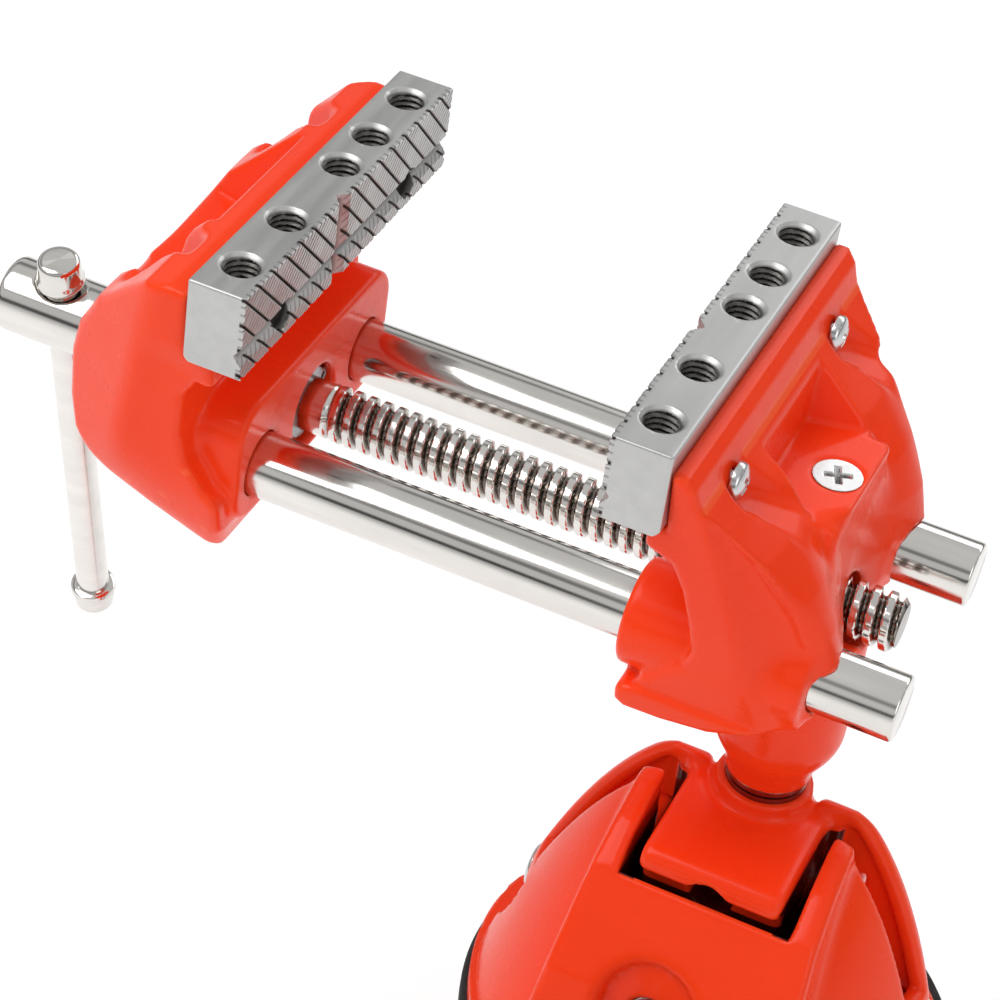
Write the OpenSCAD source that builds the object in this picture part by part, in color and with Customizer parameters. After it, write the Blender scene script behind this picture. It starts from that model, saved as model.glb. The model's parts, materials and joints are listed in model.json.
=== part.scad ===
// Clamp-on swivel vise. Millimetres, +Z up.
// Origin: on the neck axis, in the plane of the table top that the base pad rests on.
// The jaws open along X, the jaw plates run along Y.

/* [Jaws] */
// Length of the jaw plates
jaw_len = 70; // [66:1:76]
// Thickness of a jaw plate
plate_t = 9.5; // [9:0.5:11]
// Height of a jaw plate
plate_h = 14.4; // [14:0.2:16]
// Gap between the grip faces at rest
opening = 56.5; // [40:0.5:60]
// Height of the jaw tops above the table
jaw_top = 140; // [139:1:143]
// Distance from the fixed grip face to the neck axis
neck_offset = 25; // [24:0.5:26]
// Depth of a jaw casting behind its grip face
jaw_depth = 33.5; // [32:0.5:35]

/* [Guide rods and lead screw] */
// Diameter of a guide rod
rod_d = 10.5; // [10:0.1:11]
// Distance between the rod axes
rod_spacing = 35.8; // [34:0.2:37]
// Depth of the rod axes below the jaw tops
rod_drop = 42; // [41:0.5:43]
// Outer diameter of the lead screw's thread
screw_d = 9.2; // [8.8:0.1:9.6]
// Pitch of the lead screw
screw_pitch = 2.5; // [2:0.5:3]
// Diameter of the lead screw's head
head_d = 12.6; // [12:0.2:14]
// Diameter of a handle bar
bar_d = 5.8; // [5:0.1:6]
// Length of the jaw's handle bar between its caps
bar_len = 79; // [70:1:90]
// Lean of the handle bar from the vertical
bar_lean = 12.4; // [0:0.1:20]

/* [Neck and tilt] */
// Diameter of the neck post
post_d = 12; // [11:0.5:13]
// Height of the neck seat above the table
seat_z = 57; // [56.5:0.5:58]
// Height of the tilt axis above the table
tilt_z = 22; // [21:0.5:23]
// Distance of the tilt axis in front of the neck axis
tilt_y = 1; // [0:0.5:2]
// Diameter of the tilt axle
axle_d = 8; // [7:0.5:9]
// Rise of the tilt lock's axis above the horizontal
lock_rise = 17; // [15:1:20]
// Diameter of the tilt lock's stud
lock_d = 7; // [6:0.5:8]
// Radius of the hub that the tilt lock presses on
hub_r = 13; // [12:0.5:13.5]

/* [Base] */
// Radius of the dome at the table
base_r = 42.3; // [41:0.1:44]
// Height of the dome's crown if it were closed
dome_h = 63.4; // [62:0.2:65]
// Thickness of the rubber pad under the base
pad_t = 4.5; // [3:0.5:5]
// Width of the slot for the tilt block
slot_w = 28.4; // [27:0.2:30]
// Wall thickness of the castings
wall = 3.6; // [3:0.2:4]

/* [Table clamp] */
// Gap between the base pad and the clamp pad at rest
clamp_gap = 30; // [20:1:34]
// Diameter of the clamp screw
clamp_d = 10; // [9:0.5:11]
// Diameter of the swivel pad
swivel_d = 28; // [24:1:32]
// Length of the clamp's bar between its caps
clamp_bar_len = 56; // [50:1:64]

/* [Hidden] */
$fn = 64;

eps = 0.01;
run = 0.05;                          // radial clearance of a running fit
fixed_x = -neck_offset;              // grip face of the fixed jaw
moving_x = fixed_x - opening;        // grip face of the moving jaw
rod_z = jaw_top - rod_drop;
rod_y = rod_spacing / 2;
rod_r = rod_d / 2;
screw_r = screw_d / 2;
head_r = head_d / 2;
bar_r = bar_d / 2;

// jaw-local stations, measured away from the gap behind a grip face
ledge_x = 3;                         // front of a casting under its plate
boss_end_x = jaw_depth;              // back of the rod bosses
screw_y = jaw_len / 2 - 13.7;        // plate screws, either side of the middle
screw_drop = 10.6;                   // plate screws, below the jaw top
peg_y = [-27.4, -13.1, 4.8, 15.1, 27.7];
peg_r = 2.5;                         // tapping size of the M6 peg holes
peg_depth = 12;

head_start = 36.4;                   // lead screw head, from the moving grip face
head_end = 58.2;
bar_station = 48.6;
screw_end = 40;                      // free end, behind the fixed grip face
rod_end = 46.1;
ring_station = 4.2;

collar_t = 2.4;
block_w = 23.6;
block_floor = seat_z - 14;           // underside of the block round the neck post
post_bottom = block_floor - 5;
post_top = jaw_top - 56;
set_z = seat_z - 6.2;                // axis of the swivel set screw
cut_z = seat_z - 5.4;                // bottom edge of the opening in the dome's front
axle_r = axle_d / 2;
hood_t = 3.2;                        // thickness of the hood's skin
crest = seat_z + 4.2 - tilt_z;       // y plus z of the slope behind the neck, from the tilt axis
valley = crest - 4.3;                // the same, straight behind the neck
notch_w = 18.4;                      // gap between the hood's two shoulders
core_r = crest / sqrt(2) - hood_t - 0.5;  // core of the base, clear of the hood at every tilt
cheek_y = -7;                        // rear face of the cheeks
lock_r = lock_d / 2;
lock_x = -3;
lock_knob_at = 49;                   // knob, from the tilt axis along the lock axis
arch_r = 7.6;                        // arched recess round the lock stud
arch_lift = 2.1;                     // its centre above the stud
ear_recess_r = 9.6;                  // turning room of the hood's ears
dome_power = 0.372;
side_x = dome_r(tilt_z);             // half width of the dome at the tilt axis

clamp_r = clamp_d / 2;
arm_in = -35;                        // inner face of the clamp arm
arm_out = -48;
arm_w = 34;
boss_top = -54;
boss_bottom = -66;
rubber_t = 2;
cup_t = 5;
pad_top = -clamp_gap;
clamp_head_top = boss_bottom - (clamp_gap - 8) - 1.5;
clamp_head_h = 11;

// ---------------------------------------------------------------- shapes

// Radius of the dome at a height above the table.
function dome_r(z) = base_r * pow(1 - z / dome_h, dome_power);

// Points of an arc about a centre.
function arc(c, r, a0, a1, n = 8) = [for (i = [0:n]) c + r * [cos(a0 + (a1 - a0) * i / n),
                                                              sin(a0 + (a1 - a0) * i / n)]];

// Extrudes an outline drawn in X and Z along Y, centred.
module along_y(len) { rotate([90, 0, 0]) linear_extrude(len, center = true) children(); }

// Extrudes an outline drawn in Y and Z along X, centred.
module along_x(len) { rotate([90, 0, 90]) linear_extrude(len, center = true) children(); }

// A cylinder along X from x0 to x1.
module rod_x(x0, x1, r) { translate([x0, 0, 0]) rotate([0, 90, 0]) cylinder(h = x1 - x0, r = r); }

// A ring along X from x0 to x1.
module ring_x(x0, x1, r, bore) {
    difference() {
        rod_x(x0, x1, r);
        rod_x(x0 - 1, x1 + 1, bore);
    }
}

// A box with its edges along Z rounded.
module pad_box(w, l, h, r) {
    linear_extrude(h) {
        square([w - 2 * r, l], center = true);
        square([w, l - 2 * r], center = true);
        for (x = [-1, 1], y = [-1, 1]) translate([x * (w / 2 - r), y * (l / 2 - r)]) circle(r);
    }
}

// Jaw-local frame of the fixed jaw: x away from the gap, z down from the jaw top.
module on_fixed() { translate([fixed_x, 0, jaw_top]) children(); }

// Jaw-local frame of the moving jaw, mirrored so that x again runs away from the gap.
module on_moving() { translate([moving_x, 0, jaw_top]) mirror([1, 0, 0]) children(); }

// The handle bar's frame: origin where bar and screw axes cross, z along the bar.
module on_bar() {
    translate([moving_x - bar_station, 0, rod_z]) rotate([bar_lean, 0, 0]) children();
}

// ---------------------------------------------------------------- jaws

module jaw_plate() {
    difference() {
        translate([0, -jaw_len / 2, -plate_h]) cube([plate_t, jaw_len, plate_h]);
        // peg holes down from the top
        for (y = peg_y) translate([plate_t / 2, y, 0]) {
            translate([0, 0, -peg_depth]) cylinder(h = peg_depth + 1, r = peg_r);
            translate([0, 0, -0.7]) cylinder(h = 0.7 + eps, r1 = peg_r, r2 = peg_r + 0.7);
        }
        // fixing screws through the plate
        for (s = [-1, 1]) translate([0, s * screw_y, -screw_drop]) {
            rod_x(-1, plate_t + 1, 1.6);
            rod_x(-1, 2, 2.6);
        }
        // vertical V groove for round stock
        translate([0, 0, -plate_h / 2]) linear_extrude(plate_h + 2, center = true)
            polygon([[-1, -4.2], [2.2, 0], [-1, 4.2]]);
        // horizontal V groove low on the grip face
        translate([0, 0, -plate_h + 4.4]) along_y(jaw_len + 2) polygon([[-1, 1.9], [1.1, 0], [-1, -1.9]]);
    }
}

module plate_screws() {
    for (s = [-1, 1]) translate([0, s * screw_y, -screw_drop]) {
        rod_x(4, 15.5, 1.55);
        difference() {
            rod_x(15.5, 17.6, 3.1);
            translate([17.7, 0, 0]) for (a = [0, 90]) rotate([a, 0, 0]) cube([1.6, 0.9, 3.2], center = true);
        }
    }
}

// Side outline of the fixed jaw casting, x away from the gap and z down.
fixed_outline = concat(
    [[ledge_x, -20], [5.5, -plate_h], [plate_t, -plate_h], [plate_t, -2.8], [11.6, -2.6], [14, -5]],
    [[23.5, -15]],
    arc([boss_end_x - 17, -32], 17, 40, 0, 5),
    [[boss_end_x, -49], [29.5, -55], [12, -57.5], [5, -54.5], [ledge_x, -50]]);

// Side outline of the moving jaw casting, fuller at the back.
moving_outline = concat(
    [[6.5, -20], [5.5, -plate_h], [plate_t, -plate_h], [plate_t, -2.8], [12, -2.6], [16, -5]],
    [[22.5, -11.5], [29, -20]],
    arc([jaw_depth - 12.5, -36], 13.5, 35, -50, 6),
    [[15, -54], [6, -56], [3, -52]]);

// A jaw casting: its side outline, narrowing towards the bottom.
module casting_block(outline, low_half_w) {
    top_half_w = jaw_len / 2 - 0.2;
    intersection() {
        along_y(jaw_len) polygon(outline);
        along_x(90) polygon([[-top_half_w, 2], [top_half_w, 2], [top_half_w, -4], [low_half_w, -50],
                             [low_half_w - 3, -58], [3 - low_half_w, -58], [-low_half_w, -50],
                             [-top_half_w, -4]]);
    }
}

// Clearances shared by both castings: rods, lead screw and plate screws.
module jaw_bores(rod_bore, screw_bore) {
    for (s = [-1, 1]) {
        translate([0, s * rod_y, -rod_drop]) rod_x(-1, 60, rod_bore);
        translate([0, s * screw_y, -screw_drop]) {
            rod_x(8, 30, 1.6);
            rod_x(15.5, 40, 3.8);
        }
    }
    translate([0, 0, -rod_drop]) rod_x(-1, 60, screw_bore);
}

module fixed_jaw_body() {
    color("orangered") on_fixed() difference() {
        union() {
            difference() {
                casting_block(fixed_outline, 26.6);
                // hollow that opens towards the gap
                translate([-1, -27, -53]) cube([12, 54, 30]);
                // scallops in both ends
                translate([4.5, 0, -30]) along_y(90) circle(r = 7.5);
                // valley that carries the nut's locking screw
                translate([17.5, -9, -19.4]) cube([30, 20, 30]);
            }
            for (s = [-1, 1]) translate([0, s * rod_y, -rod_drop]) rod_x(ledge_x, boss_end_x, 8.6);
            translate([0, 0, -rod_drop]) rod_x(ledge_x + 3, boss_end_x - 1, 11);
            // neck boss, rounded in towards the collar
            translate([neck_offset, 0, 0]) rotate_extrude()
                polygon(concat([[0, -52], [10.5, -52]], arc([6.7, -72], 3.8, 0, -40, 4),
                               [[7.6, -79], [6.7, seat_z + collar_t - jaw_top]],
                               [[0, seat_z + collar_t - jaw_top]]));
        }
        jaw_bores(rod_r + run, screw_r + 0.6);
        // seat of the pressed screw nut
        translate([0, 0, -rod_drop]) rod_x(12, 32, 8);
        // locking screw, down into the nut
        translate([neck_offset, 0, -36]) cylinder(h = 20, r = 2);
        translate([neck_offset, 0, -21.4]) cylinder(h = 2 + eps, r1 = 2, r2 = 4);
        // blind seat of the neck post
        translate([neck_offset, 0, -90]) cylinder(h = post_top - jaw_top + 90, r = post_d / 2);
    }
}

module fixed_jaw_plate() { color("lightslategray") on_fixed() jaw_plate(); }

module fixed_plate_screws() { color("silver") on_fixed() plate_screws(); }

module screw_nut() {
    color("darkgoldenrod") on_fixed() translate([0, 0, -rod_drop]) difference() {
        ring_x(12, 32, 8, screw_r + run);
        translate([neck_offset, 0, 5.5]) cylinder(h = 6, r = 2);
    }
}

module nut_lock_screw() {
    color("silver") on_fixed() translate([neck_offset, 0, 0]) difference() {
        union() {
            translate([0, 0, -36.4]) cylinder(h = 15, r = 1.95);
            translate([0, 0, -21.4]) cylinder(h = 2, r1 = 1.95, r2 = 3.95);
        }
        translate([0, 0, -19.4]) for (a = [0, 90]) rotate([0, 0, a]) cube([4.2, 0.9, 2], center = true);
    }
}

module moving_jaw_body() {
    color("orangered") on_moving() difference() {
        union() {
            difference() {
                casting_block(moving_outline, 29.5);
                // hollow that opens towards the gap
                translate([-1, -28, -50]) cube([13, 56, 29]);
                // windows in both ends
                translate([5, 0, -33]) along_y(90) circle(r = 8.5);
            }
            for (s = [-1, 1]) translate([0, s * rod_y, -rod_drop]) rod_x(ledge_x, 30, 8.4);
            translate([0, 0, -rod_drop]) {
                rod_x(5.9, 33, 9.5);
                rod_x(30, head_start - 1.7, 8.5);
            }
        }
        jaw_bores(rod_r, screw_r + run);
        // roll pin holes up into the rods
        for (s = [-1, 1]) translate([18, s * rod_y, -60]) cylinder(h = 60 - rod_drop + 1, r = 1.5);
    }
}

module moving_jaw_plate() { color("lightslategray") on_moving() jaw_plate(); }

module moving_plate_screws() { color("silver") on_moving() plate_screws(); }

// ---------------------------------------------------------------- rods and screw

module guide_rod(side) {
    color("gainsboro") translate([0, side * rod_y, rod_z]) difference() {
        union() {
            rod_x(moving_x - 28, fixed_x + rod_end - 0.6, rod_r);
            translate([fixed_x + rod_end - 0.6, 0, 0]) rotate([0, 90, 0])
                cylinder(h = 0.6, r1 = rod_r, r2 = rod_r - 0.6);
        }
        translate([moving_x - 18, 0, -rod_r - 1]) cylinder(h = rod_r + 2, r = 1.5);
    }
}

module front_guide_rod() { guide_rod(-1); }

module rear_guide_rod() { guide_rod(1); }

module rod_pins() {
    color("dimgray") on_moving() for (s = [-1, 1])
        translate([18, s * rod_y, -53.5]) cylinder(h = 53.5 - rod_drop, r = 1.5);
}

module lead_screw() {
    color("gainsboro") difference() {
        translate([0, 0, rod_z]) {
            rod_x(moving_x - 1, fixed_x + screw_end - 1, screw_r);
            translate([fixed_x + screw_end - 1, 0, 0]) rotate([0, 90, 0])
                cylinder(h = 1, r1 = screw_r, r2 = screw_r - 1);
            rod_x(moving_x - ring_station, moving_x - 0.5, screw_r);
            // groove of the retaining ring
            rod_x(moving_x - ring_station - 1.1, moving_x - ring_station, screw_r - 0.6);
            rod_x(moving_x - head_start, moving_x - ring_station - 1.1, screw_r);
            rod_x(moving_x - head_end + 0.8, moving_x - head_start, head_r);
            translate([moving_x - head_end, 0, 0]) rotate([0, 90, 0])
                cylinder(h = 0.8, r1 = head_r - 0.8, r2 = head_r);
        }
        on_bar() cylinder(h = 40, r = bar_r + run, center = true);
    }
}

module retaining_ring() {
    color("dimgray") translate([moving_x - ring_station, 0, rod_z])
        ring_x(-1.05, -0.05, 6.2, screw_r - 0.55);
}

module front_thrust_washer() {
    color("silver") translate([moving_x - ring_station - 1.1, 0, rod_z])
        ring_x(-0.45, 0, 6.8, screw_r + run);
}

module rear_thrust_washer() {
    color("silver") translate([moving_x - head_start, 0, rod_z]) ring_x(0.1, 1.6, 8, screw_r + run);
}

// Stations along the bar: the upper cap rests on the screw head.
upper_cap_z = head_r + 0.1;
module handle_bar() {
    color("gainsboro") on_bar() translate([0, 0, upper_cap_z - bar_len])
        cylinder(h = bar_len + 2.5, r = bar_r);
}

// A turned cap with a domed end, its bore facing down.
module bar_cap() {
    difference() {
        rotate_extrude()
            polygon(concat([[0, 0], [3.6, 0], [4, 0.5], [4, 2.6]], arc([1.2, 2.6], 2.8, 0, 90, 6),
                           [[0, 5.4]]));
        translate([0, 0, -1]) cylinder(h = 3.5, r = bar_r);
    }
}

module handle_upper_cap() { color("gainsboro") on_bar() translate([0, 0, upper_cap_z]) bar_cap(); }

module handle_lower_cap() {
    color("gainsboro") on_bar() translate([0, 0, upper_cap_z - bar_len]) mirror([0, 0, 1])
        translate([0, 0, -2.5]) bar_cap();
}

// ---------------------------------------------------------------- neck

module neck_post() {
    color("gray") difference() {
        translate([0, 0, post_bottom]) cylinder(h = post_top - post_bottom, r = post_d / 2);
        // groove of the retaining clip
        translate([0, 0, post_bottom + 1.4]) difference() {
            cylinder(h = 1.1, r = post_d / 2 + 1);
            translate([0, 0, -1]) cylinder(h = 3, r = post_d / 2 - 0.8);
        }
        // annular groove for the set screw
        translate([0, 0, set_z - 1.8]) difference() {
            cylinder(h = 3.6, r = post_d / 2 + 1);
            translate([0, 0, -1]) cylinder(h = 6, r = post_d / 2 - 0.9);
        }
    }
}

module neck_collar() {
    color([0.25, 0.12, 0.1]) translate([0, 0, seat_z + 0.1]) difference() {
        cylinder(h = collar_t - 0.1, r = 6.65);
        translate([0, 0, -1]) cylinder(h = 5, r = post_d / 2);
    }
}

module neck_washer() {
    color("silver") translate([0, 0, post_bottom + 2.6]) difference() {
        cylinder(h = 1.3, r = 8.4);
        translate([0, 0, -1]) cylinder(h = 4, r = post_d / 2);
    }
}

module neck_clip() {
    color("dimgray") translate([0, 0, post_bottom + 1.45]) difference() {
        cylinder(h = 1, r = 8);
        translate([0, 0, -1]) cylinder(h = 3, r = post_d / 2 - 0.75);
        translate([0, -1.5, -1]) cube([10, 3, 3]);
    }
}

// ---------------------------------------------------------------- tilt head

// Half outline of the dome turned about the tilt axis: x across, y away from the axis.
function barrel(inset) = [for (i = [0:14]) let (rho = (seat_z + 2 - tilt_z - inset) * i / 14)
    [dome_r(tilt_z + rho) - inset, rho]];

// Solid barrel about the tilt axis.
module barrel_solid(inset) {
    points = barrel(inset);
    translate([0, -tilt_y, tilt_z]) rotate([0, 90, 0]) rotate_extrude()
        polygon(concat([for (p = points) [p[1], p[0]]],
                       [for (i = [len(points) - 1:-1:0]) [points[i][1], -points[i][0]]]));
}

// The tilt lock's frame: origin on the tilt axis, z outwards along the lock axis.
module on_lock() { translate([lock_x, -tilt_y, tilt_z]) rotate([90 - lock_rise, 0, 0]) children(); }

// Space under the slope that falls away behind the neck.
module under_slope(inset) {
    sum = crest - inset * sqrt(2);
    translate([0, -tilt_y, tilt_z]) along_x(120)
        polygon([[-70, -70], [70, -70], [70, sum - 70], [sum - 60, 60], [-70, 60]]);
}

// Part of the barrel that the hood leaves open, seen along the tilt axis.
hood_cut = [[0.5, 6.5], [0.5, 60], [-60, 60], [-60, -60], [60, -60], [60, 36], [11, 6.6], [9, -1],
            [6, -7], [0, -9], [-6, -7], [-9, 0], [-6.5, 6.5]];

module tilt_head() {
    color("orangered") difference() {
        union() {
            // hood: a slice of the barrel's skin, closed behind the neck by a slope
            difference() {
                intersection() {
                    barrel_solid(0);
                    under_slope(0);
                }
                intersection() {
                    barrel_solid(hood_t);
                    under_slope(hood_t);
                }
                translate([0, -tilt_y, tilt_z]) {
                    along_x(100) polygon(hood_cut);
                    along_x(notch_w) polygon([[-20, valley + 20], [60, valley + 20], [60, valley - 60]]);
                }
            }
            // lower slope behind the neck, turned in to the hub
            translate([0, -tilt_y, tilt_z]) along_x(slot_w - 0.6)
                polygon([[0.5, valley - 0.5], [21.8, valley - 21.8], [10, 6], [8.4, 8.8], [16.6, 13.8],
                         [0.5, valley - 5]]);
            // block between the cheeks, its front face sloping in towards the bottom
            along_x(block_w)
                polygon(concat([[valley + tilt_z - tilt_y - block_floor, block_floor],
                                [valley + tilt_z - tilt_y - seat_z, seat_z]],
                               arc([-20.9, seat_z - 2.8], 2.8, 90, 195, 6),
                               [[-20.5, seat_z - 6.6], [-17, block_floor]]));
            // collar of material round the post
            translate([0, 0, block_floor]) cylinder(h = seat_z - block_floor, r = 6.9);
            // web down to the hub on the axle
            along_x(block_w) polygon([[-17, block_floor + 1], [-10.5, 31], [-10, 20], [10, 20], [11, 33],
                                      [11, block_floor + 1]]);
            translate([0, -tilt_y, tilt_z]) rod_x(-slot_w / 2 + 0.3, slot_w / 2 - 0.3, hub_r);
        }
        // room for the neck above its seat
        translate([0, 0, seat_z]) cylinder(h = 20, r = 9);
        translate([0, 0, block_floor - 8]) cylinder(h = 40, r = post_d / 2 + run);
        // pocket of the neck washer and clip, open to the rear
        translate([-9, -9, post_bottom - 1.5]) cube([18, 40, block_floor - post_bottom + 0.5]);
        // threaded hole of the set screw
        translate([0, -14, set_z]) rotate([90, 0, 0]) cylinder(h = 20, r = 4);
        translate([0, 0, set_z]) rotate([90, 0, 0]) cylinder(h = 16, r = 3);
        translate([0, -tilt_y, tilt_z]) rod_x(-60, 60, axle_r + run);
    }
}

module swivel_set_screw() {
    color("dimgray") translate([0, -5.4, set_z]) rotate([90, 0, 0]) difference() {
        union() {
            cylinder(h = 2, r = 1.5);
            translate([0, 0, 1]) cylinder(h = 7.6, r = 2.98);
        }
        translate([0, 0, 5.6]) cylinder(h = 4, r = 1.7, $fn = 6);
    }
}

module tilt_axle() {
    color("silver") translate([0, -tilt_y, tilt_z]) {
        rod_x(-side_x + 1.6, side_x - 1.6, axle_r);
        for (s = [0, 1]) mirror([s, 0, 0]) translate([side_x - 1.6, 0, 0]) rotate([0, 90, 0])
            cylinder(h = 0.8, r1 = axle_r, r2 = axle_r - 0.8);
    }
}

module lock_shoe() {
    color("goldenrod") on_lock() translate([0, 0, hub_r + 0.3]) cylinder(h = 4, r = lock_r - 0.2);
}

module lock_stud() {
    color("silver") on_lock() translate([0, 0, hub_r + 4.3]) {
        cylinder(h = 0.6, r1 = lock_r - 0.6, r2 = lock_r);
        translate([0, 0, 0.6]) cylinder(h = lock_knob_at + 11 - hub_r - 4.9, r = lock_r);
    }
}

module lock_knob_insert() {
    color("goldenrod") on_lock() translate([0, 0, lock_knob_at - 0.5]) difference() {
        cylinder(h = 11.5, r = 5.6);
        translate([0, 0, -1]) cylinder(h = 14, r = lock_r);
    }
}

module lock_knob() {
    lobes = 6;
    color([0.12, 0.12, 0.13]) on_lock() translate([0, 0, lock_knob_at]) difference() {
        union() {
            cylinder(h = 14, r = 7.2);
            for (i = [0:lobes - 1]) rotate([0, 0, i * 360 / lobes]) translate([6.2, 0, 2])
                cylinder(h = 12, r = 2.4);
        }
        translate([0, 0, -1]) cylinder(h = 12, r = 5.6);
    }
}

// ---------------------------------------------------------------- base

cheek_top = seat_z + 2;

// The dome, solid, in front of the hood, recessed round the hood's ears.
module dome_front() {
    difference() {
        translate([0, -tilt_y, 0]) rotate_extrude()
            polygon(concat([[0, pad_t]],
                           [for (i = [0:16]) let (z = pad_t + (cheek_top - pad_t) * i / 16) [dome_r(z), z]],
                           [[0, cheek_top]]));
        translate([-60, cheek_y, 0]) cube([120, 60, 80]);
        translate([0, -tilt_y, tilt_z]) rod_x(-60, 60, ear_recess_r);
    }
}

// Fuller front face between two creases that spread towards the table.
module front_face() {
    intersection() {
        along_x(60) polygon([[cheek_y, pad_t], [-42, pad_t], [-41.2, 15], [-38.6, 26], [-34.4, 36.5],
                             [-29.3, 45], [-24.3, cut_z], [-17.5, cheek_top - 2.9], [-10.4, cheek_top],
                             [cheek_y, cheek_top]]);
        translate([0, -25, 0]) along_y(60) polygon([[-24.5, 0], [24.5, 0], [18, 60], [-18, 60]]);
    }
}

// Upright at the front, foot under the table, threaded boss.
module clamp_arm() {
    translate([0, (arm_in + arm_out) / 2, boss_bottom])
        pad_box(arm_w, arm_in - arm_out, pad_t + 9 - boss_bottom, 4);
    intersection() {
        translate([0, 0, boss_bottom]) linear_extrude(boss_top - boss_bottom)
            polygon([[-arm_w / 2, arm_out + 4], [arm_w / 2, arm_out + 4], [arm_w / 2, arm_in],
                     [12, 4], [-12, 4], [-arm_w / 2, arm_in]]);
        translate([0, 0, boss_bottom]) cylinder(h = 20, r = 50);
    }
    translate([0, 0, boss_bottom]) cylinder(h = boss_top - boss_bottom, r = 12);
}

module base_housing() {
    color("orangered") difference() {
        union() {
            dome_front();
            front_face();
            // core that the hood turns round
            intersection() {
                barrel_solid(wall);
                translate([0, -tilt_y, tilt_z]) rod_x(-60, 60, core_r);
                translate([-60, -60, pad_t]) cube([120, 120, 60]);
            }
            // bottom flange all round
            translate([0, -tilt_y, pad_t]) cylinder(h = 4, r = dome_r(pad_t));
            clamp_arm();
        }
        // slot of the tilt block, open to the rear
        translate([-slot_w / 2, -23.8, -1]) cube([slot_w, 43.8, 80]);
        translate([-slot_w / 2, 15, pad_t + 4]) cube([slot_w, 60, 80]);
        translate([-slot_w / 2, -60, cut_z]) cube([slot_w, 90, 40]);
        // hollow of the dome, open towards the table
        translate([0, 0, -1]) linear_extrude(13)
            polygon([[-30, -14], [-18, -26], [18, -26], [30, -14], [30, -10], [22, -6], [22, 10], [15, 15],
                     [-15, 15], [-22, 10], [-22, -6], [-30, -10]]);
        // arch recess and threaded bore of the tilt lock
        on_lock() {
            translate([0, arch_lift, 33]) cylinder(h = 12, r = arch_r);
            translate([-arch_r, arch_lift - 14, 33]) cube([2 * arch_r, 14, 12]);
            cylinder(h = 50, r = lock_r + run);
        }
        // axle bores
        translate([0, -tilt_y, tilt_z]) rod_x(-60, 60, axle_r);
        // holes of the pad screws
        for (a = [20, 160, 90]) rotate([0, 0, a]) translate([35.5, 0, -1]) cylinder(h = 8, r = 1.25);
        // threaded bore of the clamp screw
        translate([0, 0, boss_bottom - 1]) cylinder(h = 14, r = clamp_r + run);
    }
}

module base_rubber_pad() {
    color([0.1, 0.1, 0.1]) difference() {
        translate([0, -tilt_y, 0]) cylinder(h = pad_t, r = base_r);
        translate([-60, -60, -1]) cube([120, 60 + arm_in, 10]);
        for (a = [20, 160, 90]) rotate([0, 0, a]) translate([35.5, 0, -1]) {
            cylinder(h = 8, r = 1.25);
            cylinder(h = 3.2, r = 2.6);
        }
    }
}

module pad_screws() {
    color("silver") for (a = [20, 160, 90]) rotate([0, 0, a]) translate([35.5, 0, 0]) difference() {
        union() {
            translate([0, 0, 2.2]) cylinder(h = 4.8, r = 1.25);
            translate([0, 0, 0.8]) cylinder(h = 1.4, r = 2.5);
        }
        translate([0, 0, 0.8]) for (b = [0, 90]) rotate([0, 0, b]) cube([2.8, 0.7, 1.2], center = true);
    }
}

// ---------------------------------------------------------------- table clamp

module clamp_screw() {
    tip_z = pad_top - cup_t - rubber_t;
    color("gainsboro") difference() {
        union() {
            translate([0, 0, clamp_head_top]) cylinder(h = tip_z - clamp_head_top, r = clamp_r);
            // tip held in the pad
            translate([0, 0, tip_z]) cylinder(h = 3.4, r = 3);
            translate([0, 0, clamp_head_top - clamp_head_h]) cylinder(h = clamp_head_h, r = 7);
        }
        translate([0, 0, clamp_head_top - 6]) rotate([0, 90, 0])
            cylinder(h = 40, r = bar_r + run, center = true);
        // groove of the pad's ring
        translate([0, 0, tip_z + 1.6]) difference() {
            cylinder(h = 0.9, r = 5);
            translate([0, 0, -1]) cylinder(h = 3, r = 2.4);
        }
    }
}

module clamp_pad() {
    color("silver") translate([0, 0, pad_top - rubber_t - cup_t]) difference() {
        rotate_extrude() polygon([[0, 0.1], [8, 0.1], [swivel_d / 2 - 1, 3], [swivel_d / 2, 3.6],
                                  [swivel_d / 2, cup_t], [0, cup_t]]);
        translate([0, 0, -1]) cylinder(h = 2.6, r = 3 + run);
        translate([0, 0, 1.4]) cylinder(h = 2.3, r = 4.6);
    }
}

module clamp_pad_rubber() {
    color([0.1, 0.1, 0.1]) translate([0, 0, pad_top - rubber_t])
        cylinder(h = rubber_t, r = swivel_d / 2 - 1.2);
}

module clamp_pad_ring() {
    color("dimgray") translate([0, 0, pad_top - cup_t - rubber_t + 1.65]) difference() {
        cylinder(h = 0.8, r = 4.3);
        translate([0, 0, -1]) cylinder(h = 3, r = 2.45);
    }
}

module on_clamp_bar() { translate([0, 0, clamp_head_top - 6]) rotate([0, 90, 0]) children(); }

module clamp_bar() {
    color("gainsboro") on_clamp_bar() cylinder(h = clamp_bar_len + 5, r = bar_r, center = true);
}

module clamp_bar_caps() {
    color("gainsboro") on_clamp_bar() for (s = [0, 1]) mirror([0, 0, s])
        translate([0, 0, clamp_bar_len / 2]) bar_cap();
}

// ---------------------------------------------------------------- what is drawn

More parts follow.
